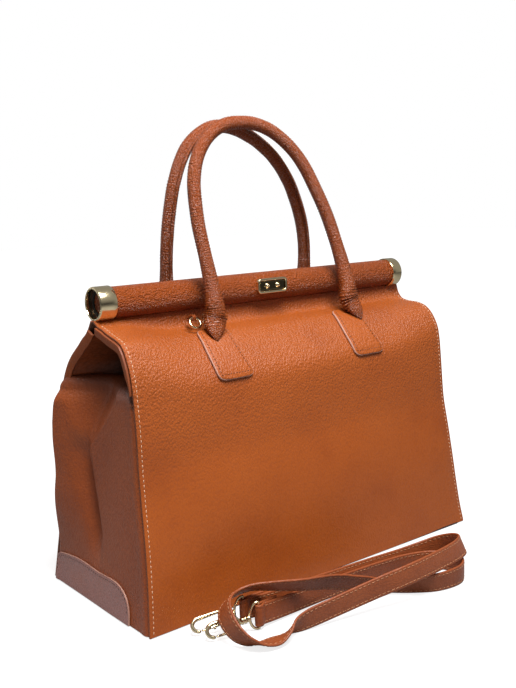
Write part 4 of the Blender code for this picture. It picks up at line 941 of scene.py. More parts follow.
def gussetDepth(y, z):
    # How far the leather lies in from the end plane: a tuck between two slanting creases that meet at the apex, with
    # a worn ridge along the front one, a valley from the apex down, and a fuller back half
    form = gussetForm
    ay, az = form["apex"]
    depths = []
    for (ty, tz), sign in ((form["frontTop"], 1), (form["backTop"], -1)):
        length = math.hypot(ty - ay, tz - az)
        ny, nz = (tz - az) / length * sign, -(ty - ay) / length * sign
        depths.append((y - ay) * ny + (z - az) * nz)
    inside = -form["creaseBlend"] * np.logaddexp(*(-depth / form["creaseBlend"] for depth in depths))
    tuck = form["creaseSoft"] * np.logaddexp(0, inside / form["creaseSoft"]) * form["tuckSlope"]
    offset = (y - np.interp(z, form["valleyHeights"], form["valleyPlaces"])) / form["valleyWidth"]
    across = bell(offset * np.where(offset < 0, *form["valleySides"]))
    valley = form["valleyDepth"] * across * grown(z, form["valleyFoot"]) * (1 - grown(z, form["valleyHead"]))
    rise = form["backBulge"] * grown(z, form["bulgeFoot"]) + form["highBulge"] * grown(z, form["highFoot"])
    bulge = rise * bell((y - form["bulgeMiddle"]) / form["bulgeWidth"]) * (1 - grown(z, form["bulgeHead"]))
    ridge = form["ridge"] * bell(depths[0] / form["ridgeWidth"]) * grown(z, (az, 0.012)) * grown(y, (-0.046, 0.012))
    fullness = form["fullness"] * bell((y + 0.030) / 0.030) * bell((z - 0.085) / 0.06)
    pull = form["pull"] * (z / 0.186) ** 2 * bell(y / 0.04)
    return tuck + valley + pull - bulge - fullness - ridge


def gussetPoint(end, share, z, lift=0.0):
    # share runs -1 at the front piece to 1 at the back piece; the leather turns in a little beside each
    reach = gussetReach(share < 0, z, end)
    y = share * reach
    near = (1 - np.abs(share)) * reach
    corner = 0.0013 * (1 - ease(near / 0.004)) - 0.0006 * bell((near - 0.006) / 0.004)
    depth = gussetDepth(y, z) * ease(near / gussetForm["cornerRun"]) + corner
    return stacked(end * (halfWidth(z) - depth + lift), y, z)


def makeGusset(end):
    form = gussetForm
    name = endNames[end]
    most = math.pi / 2 * 0.86
    share = np.sin(np.linspace(-most, most, form["columns"])) / math.sin(most)
    z = np.linspace(0.0008, form["top"], form["rows"])[:, None]
    lower = gussetPoint(end, share[None], z * np.ones((1, form["columns"])))
    # Rim: the leather rolls inward over a quarter turn, then runs into the tuck
    top = lower[-1]
    turn = np.linspace(0, 1, form["rimRows"] + 1)[1:, None]
    angle, past = np.minimum(turn * 2, 1) * math.pi / 2, np.maximum(turn * 2 - 1, 0)
    inward = form["rimRadius"] * (1 - np.cos(angle)) + past * form["rimRun"]
    rise = form["rimRadius"] * np.sin(angle) - past * form["rimDrop"]
    shape = ease((1 - np.abs(share)) * 5)[None]
    rim = stacked(top[:, 0] - end * inward * shape, top[:, 1] * (1 - 0.12 * past), top[:, 2] + rise * shape)
    points = np.concatenate([lower, rim])
    rowLengths = np.linalg.norm(np.diff(points, axis=0), axis=2).mean(1).cumsum()
    spread = stacked(points[..., 1], np.concatenate([[0], rowLengths])[:, None])
    mesh = gridMesh(name + "_gusset_leather", points, spread, flip=end == left)
    made = addPiece(name + "_gusset_leather", mesh, [gussetLeather, suede, darkEdge],
                    [name + "_gusset"], "bag")
    thicken(made, form["leather"], 0.0004, 2, 1)


# Patches over the gussets' feet: (y, top) of the rounded top edge, in millimetres
patchForm = {
    "edge": [(-53, 1), (-52.6, 9), (-50.5, 17), (-45.5, 24.2), (-36, 29.2), (-24, 30.6), (-1, 29.4), (13, 30),
             (36, 30.8), (60, 28.6), (70, 26.4), (74.6, 20), (76, 9), (76.2, 1)],
    "leather": 0.0014, "columns": 90, "rows": 26, "lift": 0.0003,
    "stitchInset": 0.0026, "stitchReach": (-0.0500, 0.0735), "stitch": (0.0036, 0.0024, 0.00030),
}


def makePatch(end):
    form = patchForm
    name = endNames[end]
    edge = evenly(through(form["edge"], np.linspace(0, 1, 800)) / 1000, form["columns"])
    lift = form["lift"] + form["leather"]
    # rows from the foot up to the edge line
    y, z = edge[None, :, 0], 0.0010 + (edge[None, :, 1] - 0.0010) * np.linspace(0, 1, form["rows"])[:, None]
    reach = gussetReach(y < 0, z, end)
    points = gussetPoint(end, np.clip(y, -reach * 0.992, reach * 0.992) / reach, z, lift)
    mesh = gridMesh(name + "_patch", points, points[..., 1:], flip=end == left)
    made = addPiece(name + "_patch", mesh, [sheenPatchLeather, suede, paleEdge],
                    [name + "_gusset_patch"], "bag")
    thicken(made, form["leather"], 0.0004, 2, 1)
    y, z = np.clip(edge[6:-6, 0], *form["stitchReach"]), np.maximum(edge[6:-6, 1] - form["stitchInset"], 0.002)
    course = gussetPoint(end, y / gussetReach(y < 0, z, end), z, lift)
    ups = np.tile((end, 0, 0.05), (len(course), 1))
    addPiece(name + "_patch_stitches", stitchLine(course, ups, *form["stitch"]), [brownThread],
             (), "bag")


for end in (left, right):
    makeGusset(end)
    makePatch(end)
print("gussets made")

# Upper folds of the gussets and the flange strips along the flaps' side edges
foldForm = {
    "flangeFrom": 0.0021, "flangeTo": 0.0088, "flangeLeather": 0.0022, "low": 0.1820, "stop": 0.962,
    "columns": 26, "rows": 60, "leather": 0.0016, "startDepth": 0.030, "endDepth": 0.056,
}
hingeAlong = alongAt(lambda out, z: z >= 0.179)


def sidePoint(side, end, along, depth):
    # Point at a flap's side edge, moved in from the leather's outer face by a depth
    share = np.full_like(along, end)
    return shellPoint(side, share, along) - shellNormal(side, share, along) * depth


def makeFlange(side, end):
    form = foldForm
    name = cornerName(side, end)
    along = np.linspace(hingeAlong, form["stop"], form["rows"])
    cross = np.linspace(0, 1, 9)
    base = sidePoint(side, end, along, 0.0)
    inward = -shellNormal(side, np.full_like(along, end), along)
    inward = unit(inward * (0, 1, 1))
    reach = (form["flangeTo"] - form["flangeFrom"]) * (0.30 + 0.70 * ease(np.linspace(0, 1, form["rows"]) / 0.12))
    depth = form["flangeFrom"] + reach[:, None] * cross[None]
    points = base[:, None] + inward[:, None] * depth[..., None]
    points[..., 0] -= end * (0.0004 + 0.0016 * cross ** 2)[None]
    spread = stacked(depth.mean(0)[None], runLengths(base)[:, None])
    mesh = gridMesh(name + "_flange", points, spread, flip=side * end < 0)
    made = addPiece(name + "_flange", mesh, [bindingLeather, suede, brownEdge], [name + "_binding"])
    thicken(made, form["flangeLeather"], 0.0005, 2, 0)
    bendOverHinge(made)


def makeFold(side, end):
    # Each half runs from the flange's inner edge to the crease in the middle and sinks inward on the way
    form = foldForm
    name = cornerName(side, end)
    along = np.linspace(hingeAlong, form["stop"], form["rows"])
    rise = np.linspace(0, 1, form["rows"])
    edge = sidePoint(side, end, along, form["flangeTo"] - 0.0006)
    edge[:, 0] -= end * 0.0022
    depth = form["startDepth"] + (form["endDepth"] - form["startDepth"]) * ease(rise * 1.6)
    crease = stacked(end * (shellForm["halfShoulder"] - depth), side * 0.0018,
                     form["low"] + (edge[-1, 2] - 0.012 - form["low"]) * rise)
    cross = np.linspace(0, 1, form["columns"])
    points = edge[:, None] + (crease - edge)[:, None] * cross[None, :, None]
    dip = np.sin(cross * math.pi)[None] * (0.006 + 0.004 * np.sin(rise * math.pi))[:, None]
    points[..., 0] -= end * dip
    spread = stacked(cross[None] * 0.05, runLengths(edge)[:, None])
    mesh = gridMesh(name + "_fold", points, spread, flip=side * end > 0)
    made = addPiece(name + "_fold", mesh, [shadedFoldLeather, suede, darkEdge], [name + "_gusset_fold"])
    thicken(made, form["leather"], 0.0, 2, 1)
    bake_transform(made)


for side in (front, back):
    for end in (left, right):
        makeFlange(side, end)
        makeFold(side, end)
print("folds made")

# Base
baseForm = {"halfWidth": 0.1885, "halfDepth": 0.0818, "corner": 0.006, "thickness": 0.0020, "roll": 0.0007}


def roundedOutline(halfX, halfY, corner, perCorner, perSide):
    # Outline of a rectangle with round corners, as points going round anticlockwise
    loops = []
    for signX, signY, first in ((1, 1, 0), (-1, 1, 1), (-1, -1, 2), (1, -1, 3)):
        turn = np.linspace(first, first + 1, perCorner) * math.pi / 2
        loops.append(np.stack([signX * (halfX - corner) + corner * np.cos(turn),
                               signY * (halfY - corner) + corner * np.sin(turn)], -1))
    whole = np.concatenate(loops + [loops[0][:1]])
    return evenly(whole, perCorner * 4 + perSide * 4 + 1)[:-1]


def plateMesh(name, halfX, halfY, corner, steps, perCorner, perSide):
    # Loft of rounded rectangles: each step is (inset, height); the first and last are closed with flat faces
    loops = []
    for inset, height in steps:
        loop = roundedOutline(halfX - inset, halfY - inset, max(corner - inset, 0.0002), perCorner, perSide)
        loops.append(np.concatenate([loop, np.full((len(loop), 1), height)], 1))
    points = np.stack(loops)
    u = np.concatenate([[0], np.linalg.norm(np.diff(points[0], axis=0), axis=1).cumsum(), [0]])
    u[-1] = u[-2] + 0.001
    v = np.concatenate([[0], np.abs(np.diff(np.array(steps), axis=0)).sum(1).cumsum()])
    spread = stacked(u[None], v[:, None])
    mesh = gridMesh(name, points, spread, closeColumns=True, capped=True)
    flat = points.reshape(-1, 3)[readAll(mesh.loops, "vertex_index", kind=np.int32)][:, :2]
    mesh.uv_layers[0].data.foreach_set("uv", flat.astype(np.float32).ravel())
    return mesh


def makeBase():
    form = baseForm
    t, r = form["thickness"], form["roll"]
    steps = [(r + 0.010, 0.0), (r, 0.0), (r * 0.3, r * 0.3), (0, r), (0, t - r), (r * 0.3, t - r * 0.3), (r, t),
             (r + 0.010, t)]
    mesh = plateMesh("base_leather", form["halfWidth"], form["halfDepth"], form["corner"], steps, 6, 20)
    addPiece("base_leather", mesh, [darkEdge], ["base_panel"], "bag")


makeBase()

# Tabs under the handles' feet
tabForm = {
    "spread": 0.156, "foot": 0.1875, "topOut": 0.0245, "width": 0.0365, "topWidth": 0.0290, "corner": 0.0055,
    "leather": 0.0023, "gap": 0.0003, "puff": 0.0005, "columns": 34, "rows": 44, "inset": 0.0027,
    "edgeWidth": 0.0007, "edgeRows": 150, "stitch": (0.0030, 0.0020, 0.00028, 0.10),
}


def makeTab(side, end):
    form = tabForm
    name = cornerName(side, end)
    low = alongAt(lambda out, z: z >= form["foot"])
    high = alongAt(lambda out, z: out <= form["topOut"])
    along = np.linspace(low, high, form["rows"])
    centre = end * form["spread"] / 2
    line = shellPoint(side, centre / shellForm["halfShoulder"], along)
    rise = runLengths(line)
    total = rise[-1]
    width = form["width"] + (form["topWidth"] - form["width"]) * rise / total
    r = form["corner"]
    for distance in (rise, total - rise):
        short = np.maximum(r - distance, 0)
        width = width - 2 * (r - np.sqrt(np.maximum(r * r - short * short, 0)))
    lean = 0.0006 - 0.0016 * rise / total - 0.0026 * np.sin(rise / total * math.pi)
    cross = np.linspace(-0.5, 0.5, form["columns"])
    x = centre + lean[:, None] + width[:, None] * cross[None]
    lift = form["gap"] + form["leather"] + form["puff"] * (1 - (2 * cross[None]) ** 6)
    share, grid = x / shellForm["halfShoulder"], along[:, None]
    points = shellPoint(side, share, grid) + shellNormal(side, share, grid) * lift[..., None]
    spread = stacked(x, rise[:, None])
    mesh = gridMesh(name + "_shield", points, spread, flip=side == back)
    made = addPiece(name + "_shield", mesh, [tabLeather, suede, paleEdge], [name + "_tab"],
                    sideNames[side] + "_flap")
    thicken(made, form["leather"], 0.0004, 2, 1)

    def course(half, rows, count):
        # down one side, round the foot and up the other, on the leather below
        down, up = (np.stack([(centre + lean + sign * half)[rows], along[rows]], -1) for sign in (left, right))
        line = np.concatenate([down[::-1], np.linspace(down[0], up[0], count)[1:-1], up])
        share = line[:, 0] / shellForm["halfShoulder"]
        return shellPoint(side, share, line[:, 1]), shellNormal(side, share, line[:, 1])

    # Pale cut edge, lightened further as a painted highlight: a thin rounded strip round the outline, at half the
    # leather's thickness
    surface, normal = course(width / 2, slice(None), 24)
    line = evenly(surface + normal * (form["gap"] + form["leather"] * 0.5), form["edgeRows"])
    lengths, source = runLengths(line), runLengths(surface)
    ups = readAlong(normal, source / source[-1], lengths / lengths[-1])
    mesh = sweep(name + "_shield_edge", line, ups, ellipse(form["edgeWidth"], form["leather"] * 0.52, 10))
    addPiece(name + "_shield_edge", mesh, [paleEdge], (), sideNames[side] + "_flap")
    # Row of stitches inside the edge
    inner = np.maximum(width / 2 - form["inset"], 0.001)
    surface, normal = course(inner, (rise > form["inset"]) & (rise < total * 0.93), 30)
    place = surface + normal * (form["gap"] + form["leather"] + 0.00045)
    addPiece(name + "_shield_stitches", stitchLine(place, normal, *form["stitch"]), [brownThread],
             (), sideNames[side] + "_flap")


for side in (front, back):
    for end in (left, right):
        makeTab(side, end)
print("tabs made")

# Handles: rolled leather with a sewn flange on the inner side, ending in a wrinkled tongue on each tab
handleForm = {
    # middle of each roll, left foot to right foot: x and height in millimetres; the arch leans back by its height
    "arches": {
        front: [
            (-76.5, 247), (-77.2, 268), (-78.9, 289), (-81.0, 315), (-80.2, 341), (-78.1, 354.4), (-73.7, 367.5),
            (-65.5, 381), (-52.2, 393.3), (-36.5, 400.4), (-18.2, 402.6), (-0.7, 401.0), (16.4, 394.6),
            (33.9, 381.4), (47.6, 364.1), (58.7, 340.7), (67.8, 316.9), (74.5, 290), (78.6, 268), (80.3, 247),
        ],
        back: [
            (-79.0, 247), (-80.2, 268), (-81.4, 289), (-81.3, 315), (-79.0, 342), (-76.5, 355), (-72.6, 368.5),
            (-65.8, 382), (-54.0, 393.0), (-39.5, 399.4), (-22.0, 399.6), (-4.5, 394.6), (13.2, 386.5),
            (33.6, 372.6), (51.5, 353.8), (63.5, 335.4), (74.2, 313.9), (81.0, 292), (84.6, 268), (85.0, 247),
        ],
    },
    "footHeight": 0.2450, "footOuts": {front: 0.0300, back: 0.0415}, "lean": 0.190,
    "radius": 0.0057, "finTip": 0.0089, "finHalf": 0.0013, "finDrop": 0.0010, "rows": 560,
    "stitchOut": 0.0062, "stitch": (0.0034, 0.0023, 0.00032, 0.08),
    "bendStart": 0.2385, "bendEnd": 0.2640,
    # tongue on the tab: distance out from the middle, half thickness; then the leg's first points (out, height)
    "tongue": [(0.0392, 0.0005), (0.0377, 0.0014), (0.0355, 0.0030), (0.0333, 0.0046), (0.0316, 0.0058)],
    "leg": [(0.0012, 0.2335), (0.0002, 0.2392)],
    # half width and half thickness of the roll at distances from the tongue's tip
    "girthPlaces": [0, 0.0012, 0.0050, 0.0095, 0.0150, 0.0200, 0.0260, 0.0340, 0.0480, 0.0750],
    "halfWidths": [0.0008, 0.0018, 0.0048, 0.0075, 0.0097, 0.0106, 0.0100, 0.0085, 0.0067, 0.0058],
    "halfHeights": [0.0005, 0.0010, 0.0026, 0.0046, 0.0064, 0.0074, 0.0078, 0.0076, 0.0067, 0.0058],
    "wrinklePitch": 0.0025, "wrinkleDepth": 0.00032, "footWrinkle": 1.8, "easeRows": 29, "tongueOut": 0.0062,
}


def handleLine(side):
    # Arch from foot to foot, carried on past each foot down over the tab
    form = handleForm
    arch = through(form["arches"][side], np.linspace(0, 1, 1200)) / 1000
    footOut = form["footOuts"][side]
    out = footOut - form["lean"] * (arch[:, 1] - form["footHeight"])
    line = np.stack([arch[:, 0], side * out, arch[:, 1]], -1)
    feet = []
    for x in (arch[0, 0], arch[-1, 0]):
        share = x / shellForm["halfShoulder"]
        points = []
        for outward, half in form["tongue"]:
            place = alongAt(lambda out, z: (out <= outward + footOut - form["footOuts"][front]) & (z > 0.2))
            lift = tabForm["gap"] + tabForm["leather"] + half
            points.append(shellPoint(side, share, place) + shellNormal(side, share, place) * lift)
        points += [np.array((x, side * (out + footOut), z)) for out, z in form["leg"]]
        feet.append(evenly(through(points, np.linspace(0, 1, 300)), 80))
    return np.concatenate([feet[0], line, feet[1][::-1]])


def handleSection(count=36):
    # Round roll with a fin: angles crowd at the fin, which reaches finTip on the up side
    form = handleForm
    r, tip, half = form["radius"], form["finTip"], form["finHalf"]
    root = math.asin(half / r)
    turn = np.linspace(math.pi / 2 + root, math.pi / 2 + math.tau - root, count)
    roll = np.stack([np.cos(turn) * r, np.sin(turn) * r], -1)
    fin = np.array([(half, r + 0.0006), (half * 0.97, tip - 0.0007), (half * 0.62, tip - 0.00015), (0, tip),
                    (-half * 0.62, tip - 0.00015), (-half * 0.97, tip - 0.0007), (-half, r + 0.0006)])
    return np.concatenate([roll, fin])


def makeHandle(side):
    form = handleForm
    name = sideNames[side]
    line = evenly(handleLine(side), form["rows"])
    lengths = runLengths(line)
    total = lengths[-1]
    fromEnd = np.minimum(lengths, total - lengths)
    # ease the bend at each foot, and let the tongue point a little outward
    window = np.hanning(form["easeRows"])
    padded = np.pad(line, ((form["easeRows"] // 2,) * 2, (0, 0)), mode="reflect", reflect_type="odd")
    smooth = np.stack([np.convolve(padded[:, k], window / window.sum(), mode="valid") for k in range(3)], -1)
    line = line + (smooth - line) * (1 - grown(fromEnd, (0.045, 0.02)))[:, None]
    line[:, 0] += np.sign(line[:, 0]) * form["tongueOut"] * (1 - ease(fromEnd / 0.030))
    section = handleSection()
    # the fin sinks into the roll near the feet, the roll widens there and flattens into a pointed tongue
    fin = grown(fromEnd, (0.016, 0.014))
    girths = [np.interp(fromEnd, form["girthPlaces"], form[key]) for key in ("halfWidths", "halfHeights")]
    angle = np.arctan2(section[:, 1], section[:, 0])
    sunk = np.stack([np.cos(angle), np.sin(angle)], -1) * form["radius"]
    whole = sunk[None] + (section - sunk)[None] * fin[:, None, None]
    # cross wrinkles, deeper near the feet
    wave = np.sin(lengths / form["wrinklePitch"] * math.tau + 1.6 * np.sin(lengths * 190) + 0.9 * np.sin(lengths * 77))
    foot = 1 + form["footWrinkle"] * bell((fromEnd - 0.022) / 0.013)
    strength = form["wrinkleDepth"] * foot * ease(fromEnd / 0.006)
    around = 0.7 + 0.3 * np.sin(angle[None] * 2 + lengths[:, None] * 300)
    whole = whole * (1 + (wave * strength / form["radius"])[:, None] * around)[..., None]
    whole = whole * np.stack(girths, -1)[:, None] / form["radius"]
    whole[..., 1] -= (form["finDrop"] * fin)[:, None]
    # the fin looks inward along the arch; at the bent feet the frame turns with the line, so the roll doesn't twist
    run = wayAlong(line)
    up = np.array((0, -side, 0.0))
    upward = unit(up[None] - (run @ up)[:, None] * run)
    footUp = unit(np.cross(run, stacked(np.sign(total / 2 - lengths), 0.0, 0.0))) * -side
    share = grown(fromEnd, (0.028, 0.02))[:, None]
    ups = unit(footUp * (1 - share) + upward * share)
    mesh = sweep(name + "_handle_roll", line, ups, whole)
    made = addPiece(name + "_handle_roll", mesh, [handleLeather], [name + "_handle"])
    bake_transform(made)
    inside = fromEnd > 0.044
    across = np.cross(run, upward)
    rows = []
    for face in (-1, 1):
        course = line + upward * form["stitchOut"] + across * (form["finHalf"] * 0.99) * face
        rows.append(stitchLine(course[inside], across[inside] * face, *form["stitch"]))
    addPiece(name + "_handle_stitches", joinMeshes("rows", rows), [brownThread], (),
             name + "_handle")


for side in (front, back):
    makeHandle(side)
print("handles made")

# Closing tube: a leather cover on each half, metal end rings and plugs in their mouths
tubeForm = {
    "height": 0.255, "length": 0.341, "radius": 0.0132, "leather": 0.0015, "slit": 0.0004, "columns": 44,
    "rows": 170, "ringOuter": 0.0144, "ringStart": 0.1608, "ringFaces": {left: 0.1762, right: 0.1735}, "mouth": 0.0121,
    "plugDepth": 0.0070, "plugRadius": 0.0119, "plugSlit": 0.08 * 0.0119,
}


def makeCover(side):
    form = tubeForm
    name = sideNames[side]
    limit = math.asin(form["slit"] / form["radius"])
    angle = np.linspace(-math.pi / 2 + limit, math.pi / 2 - limit, form["columns"])[None]
    x = np.linspace(-form["length"] / 2, form["length"] / 2, form["rows"])[:, None]
    ripple = (np.sin(x * 210 + angle * 7) * 0.4 + np.sin(x * 93 - angle * 11 + 1) * 0.5) * 0.00010
    edge = ease((math.pi / 2 - np.abs(angle)) / 0.22)
    r = form["radius"] + ripple * edge
    points = stacked(x, side * np.cos(angle) * r, form["height"] + np.sin(angle) * r)
    spread = stacked(x, angle * form["radius"])
    mesh = gridMesh(name + "_tube_leather", points, spread, flip=side == front)
    made = addPiece(name + "_tube_leather", mesh, [tubeLeather, suede, darkEdge],
                    [name + "_tube_cover"], name + "_flap")
    thicken(made, form["leather"], 0.0003, 2, 1)


def makeEndRing(side, end):
    form = tubeForm
    name = cornerName(side, end)
    inner, outer = form["radius"] + 0.0003, form["ringOuter"]
    start, face, mouth = form["ringStart"], form["ringFaces"][end], form["mouth"]
    profile = [
        (inner, start), (outer - 0.0003, start), (outer, start + 0.0004), (outer, start + 0.0040),
        (outer, face - 0.0014), (outer - 0.00025, face - 0.0006), (outer - 0.0009, face - 0.0001),
        (outer - 0.0012, face), (mouth + 0.0005, face), (mouth + 0.0002, face - 0.00015),
        (mouth, face - 0.0007), (mouth, face - 0.0014), (inner - 0.0004, face - 0.0014), (inner, face - 0.0018),
    ]
    gap = form["slit"] / outer
    cap = lathe(name + "_cap", profile, 44, -math.pi / 2 + gap, math.pi - 2 * gap)
    # Half plug of leather inside the mouth
    r, bottom = form["plugRadius"], face - form["plugDepth"]
    profile = [(0.0002, bottom - 0.0012), (r, bottom - 0.0012), (r, bottom), (r * 0.96, bottom + 0.0003),
               (0.0002, bottom + 0.0003)]
    gap = form["plugSlit"] / form["plugRadius"]
    plug = lathe(name + "_plug", profile, 30, -math.pi / 2 + gap, math.pi - 2 * gap)
    for mesh in (cap, plug):
        moveMesh(mesh, Matrix(((end, 0, 0, 0), (0, side, 0, 0), (0, 0, 1, form["height"]), (0, 0, 0, 1))))
        if end * side > 0:
            mesh.flip_normals()
    body = sideNames[side] + "_flap"
    made = addPiece(name + "_cap", cap, [gold], [name + "_end_ring"], body)
    made.data.set_sharp_from_angle(angle=math.radians(40))
    addPiece(name + "_plug", plug, [handleLeather], (), body)


for side in (front, back):
    makeCover(side)
    for end in (left, right):
        makeEndRing(side, end)
print("tube made")

# Lock: a framed plate with a pressed centre plate and two domed studs
lockForm = {
    "height": 0.2565, "front": -0.0162, "halfX": 0.0170, "halfY": 0.0068, "corner": 0.0036, "rim": 0.0021,
    "studSpacing": 0.0120, "studRadius": 0.0022, "plateDrop": 0.00115,
}


def facingFront(mesh, y):
    # Own X stays, own Y becomes up, own Z becomes the way to the front
    return moveMesh(mesh, Matrix(((1, 0, 0, 0), (0, 0, -1, y), (0, 1, 0, lockForm["height"]), (0, 0, 0, 1))))


def ringPlate(name, halfX, halfY, corner, steps):
    # Closed ring of rounded rectangles, for a frame with an opening: the last step joins the first
    loops = []
    for inset, height in steps:
        loop = roundedOutline(halfX - inset, halfY - inset, max(corner - inset * 0.8, 0.0008), 10, 10)
        loops.append(np.concatenate([loop, np.full((len(loop), 1), height)], 1))
    points = np.stack(loops)
    spread = np.concatenate([points[..., :2], points[:, :1, :2]], 1)
    spread = np.concatenate([spread, spread[:1]])
    return gridMesh(name, points, spread, closeRows=True, closeColumns=True)


def makeLock():
    form = lockForm
    y, rim = form["front"], form["rim"]
    frameSteps = [(0.0003, -0.0045), (0, -0.0040), (0, -0.0006), (0.0002, -0.0002), (0.0006, 0), (rim - 0.0006, 0),
                  (rim - 0.0002, -0.0002), (rim, -0.0006), (rim, -0.0022), (rim - 0.0002, -0.0045)]
    mesh = facingFront(ringPlate("lock_rim", form["halfX"], form["halfY"], form["corner"], frameSteps), y)
    addPiece("lock_rim", mesh, [gold], ["lock_frame"], "front_flap")
    inner = rim + 0.0003
    steps = [(inner + 0.001, -0.0019), (inner, -0.0018), (inner, -0.0015), (inner + 0.0003, -0.0012),
             (inner + 0.0012, -form["plateDrop"])]
    mesh = facingFront(plateMesh("lock_plate", form["halfX"], form["halfY"], form["corner"], steps, 10, 10), y)
    addPiece("lock_plate", mesh, [lockGold], ["lock_button"], "lock")
    r = form["studRadius"]
    profile = [(0.0001, -0.0001), (r * 1.12, -0.0001), (r * 1.12, 0.0002), (r, 0.0004)]
    profile += [(r * math.cos(a) * 0.97, 0.0004 + r * 0.8 * math.sin(a)) for a in np.linspace(0, math.pi / 2, 10)[:-1]]
    profile += [(0.0001, 0.0004 + r * 0.8)]
    for sign, name in endNames.items():
        place = (sign * form["studSpacing"] / 2, y + form["plateDrop"], form["height"])
        turn = Matrix(((0, 1, 0), (-1, 0, 0), (0, 0, 1))).to_4x4()
        mesh = moveMesh(lathe("stud", profile, 28), Matrix.Translation(place) @ turn)
        addPiece(name + "_lock_dome", mesh, [gold], [name + "_lock_stud"], "lock")


makeLock()

# Strap rings and their loops
ringForm = {"wire": 0.0011, "radius": 0.0052, "place": 0.0915, "pinOut": 0.0185, "pinHeight": 0.2365, "lean": 0.60,
            "loopWidth": 0.0034, "loopReach": 0.0075}


def makeStrapRing(side, end):
    form, name = ringForm, endNames[end]
    pin = np.array((end * form["place"], side * form["pinOut"], form["pinHeight"]))
    way = np.array((0.0, side * form["lean"], -math.sqrt(1 - form["lean"] ** 2)))
    centre = pin + way * form["radius"]
    turn = np.linspace(0, math.tau, 48, endpoint=False)[:, None]
    line = centre + np.array((1.0, 0, 0)) * np.sin(turn) * form["radius"] - way * np.cos(turn) * form["radius"]
    normal = np.cross((1.0, 0, 0), way)
    mesh = sweep(name + "_small_ring", line, normal, ellipse(form["wire"], form["wire"], 14), closed=True)
    addPiece(name + "_small_ring", mesh, [gold], [name + "_strap_ring"], name + "_ring")
    # Leather loop: from the shoulder round the ring's wire and back
    reach = form["wire"] + 0.0011
    turn = np.linspace(math.pi * 0.62, -math.pi * 0.62, 24)
    bow = stacked(0.0, np.cos(turn) * reach * side, np.sin(turn) * reach) + pin
    root = pin + np.array((0, -side * form["loopReach"], -0.0020))
    line = evenly(np.concatenate([[root + (0, 0, 0.0008)], bow, [root - (0, 0, 0.0008)]]), 50)
    section = roundedOutline(form["loopWidth"] / 2, 0.0005, 0.0002, 3, 3)
    mesh = sweep(name + "_loop", line, np.cross(wayAlong(line), (1.0, 0, 0)), section)
    addPiece(name + "_loop", mesh, [handleLeather], [name + "_ring_loop"], sideNames[side] + "_flap")


makeStrapRing(front, left)
makeStrapRing(back, right)
print("metal made")

# Carried-over nodes: cores, magnets and base board
for name, node in nodes.items():
    if node.hide_render:
        continue
    # the cores take the near-black painted-shadow colour
    look = boardLook if name == "base_board" else shadowCoreLook if "core" in name else steel
    node.data.materials.clear()
    node.data.materials.append(look)

# Floor, lamps and background
lightForm = {
    "floorHalf": 6.0, "floorDrop": 0.0002, "floorColour": 0.34,
    "glowNear": 0.78, "glowFar": 1.0, "glowStart": 0.35, "glowEnd": 0.80,
    "worldLevel": 0.30, "worldBehind": 0.55, "behindWay": (-0.36, 0.90, -0.22),
    "darkWay": (-0.62, -0.78, 0.0), "darkShare": 0.85, "darkHeight": 0.42,
    "top": {"place": (-0.17, -0.43, 1.02), "aim": (-0.03, 0, 0.22), "size": 0.56, "power": 17.2},
}


def areaLamp(name, spec):
    data = bpy.data.lights.new(name, "AREA")
    data.shape = "DISK"
    data.size = spec["size"]
    data.energy = spec["power"]
    lamp = bpy.data.objects.new(name, data)
    lamp.location = spec["place"]
    way = Vector(spec["aim"]) - Vector(spec["place"])
    lamp.rotation_euler = way.to_track_quat("-Z", "Y").to_euler()
    bpy.context.scene.collection.objects.link(lamp)


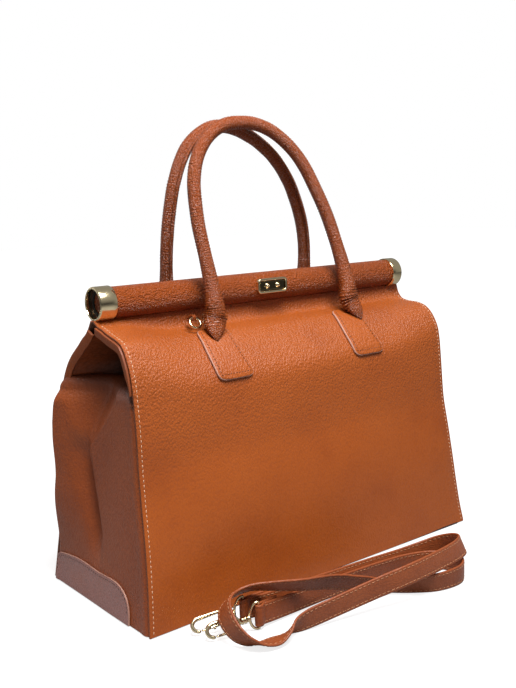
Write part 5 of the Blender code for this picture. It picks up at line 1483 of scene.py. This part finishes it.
def makeFloor():
    size = lightForm["floorHalf"]
    mesh = bpy.data.meshes.new("floor")
    mesh.from_pydata([(-size, -size, 0), (size, -size, 0), (size, size, 0), (-size, size, 0)], [], [(0, 1, 2, 3)])
    floor = bpy.data.objects.new("floor", mesh)
    floor.location.z = -lightForm["floorDrop"]
    bpy.context.scene.collection.objects.link(floor)
    material, tree, shader = newMaterial("pale floor")
    level = lightForm["floorColour"]
    feed(tree, shader, {"Base Color": (level, level, level, 1), "Roughness": 0.9, "Specular IOR Level": 0.1})
    path = put(tree, "LightPath")
    # the glow that only the camera sees is weaker round the bag, where the shadow has to stay
    away = put(tree, "VectorMath", {0: coordinates(tree, "object")}, operation="LENGTH").outputs["Value"]
    level = remap(tree, away, lightForm["glowStart"], lightForm["glowEnd"], lightForm["glowNear"], lightForm["glowFar"])
    seen = mathNode(tree, "MULTIPLY", path.outputs["Is Camera Ray"], level)
    glow = put(tree, "Emission", {"Color": (1, 1, 1, 1), "Strength": seen})
    both = put(tree, "AddShader", {0: shader.outputs[0], 1: glow.outputs[0]})
    tree.links.new(both.outputs[0], tree.nodes["Material Output"].inputs["Surface"])
    mesh.materials.append(material)


def makeWorld():
    world = bpy.data.worlds.new("studio")
    bpy.context.scene.world = world
    world.use_nodes = True
    tree = world.node_tree
    ground = tree.nodes["Background"]
    # brighter backdrop behind the bag, seen as a sheen along its end
    way = put(tree, "TexCoord").outputs["Generated"]
    along = put(tree, "VectorMath", {0: way, 1: lightForm["behindWay"]}, operation="DOT_PRODUCT").outputs["Value"]
    level = remap(tree, along, 0.45, 0.95, lightForm["worldLevel"], lightForm["worldLevel"] + lightForm["worldBehind"])
    # darker room at eye level on the camera's side, which polished metal picks up as a dark band
    toward = put(tree, "VectorMath", {0: way, 1: lightForm["darkWay"]}, operation="DOT_PRODUCT").outputs["Value"]
    height = mathNode(tree, "ABSOLUTE", part(tree, way, "Z"))
    sideways, low = remap(tree, toward, -0.1, 0.5), remap(tree, height, lightForm["darkHeight"], 0.05)
    dark = mathNode(tree, "MULTIPLY", sideways, low)
    kept = remap(tree, dark, 0, 1, 1.0, 1 - lightForm["darkShare"])
    level = mathNode(tree, "MULTIPLY", level, kept)
    ground.inputs["Color"].default_value = (1, 1, 1, 1)
    path = put(tree, "LightPath")
    seen = mathNode(tree, "MAXIMUM", path.outputs["Is Camera Ray"], path.outputs["Is Transmission Ray"])
    tree.links.new(remap(tree, seen, 0, 1, level, 1.0), ground.inputs["Strength"])


makeFloor()
makeWorld()
areaLamp("top", lightForm["top"])
bpy.context.scene.view_settings.view_transform = "Standard"
print("lights placed")
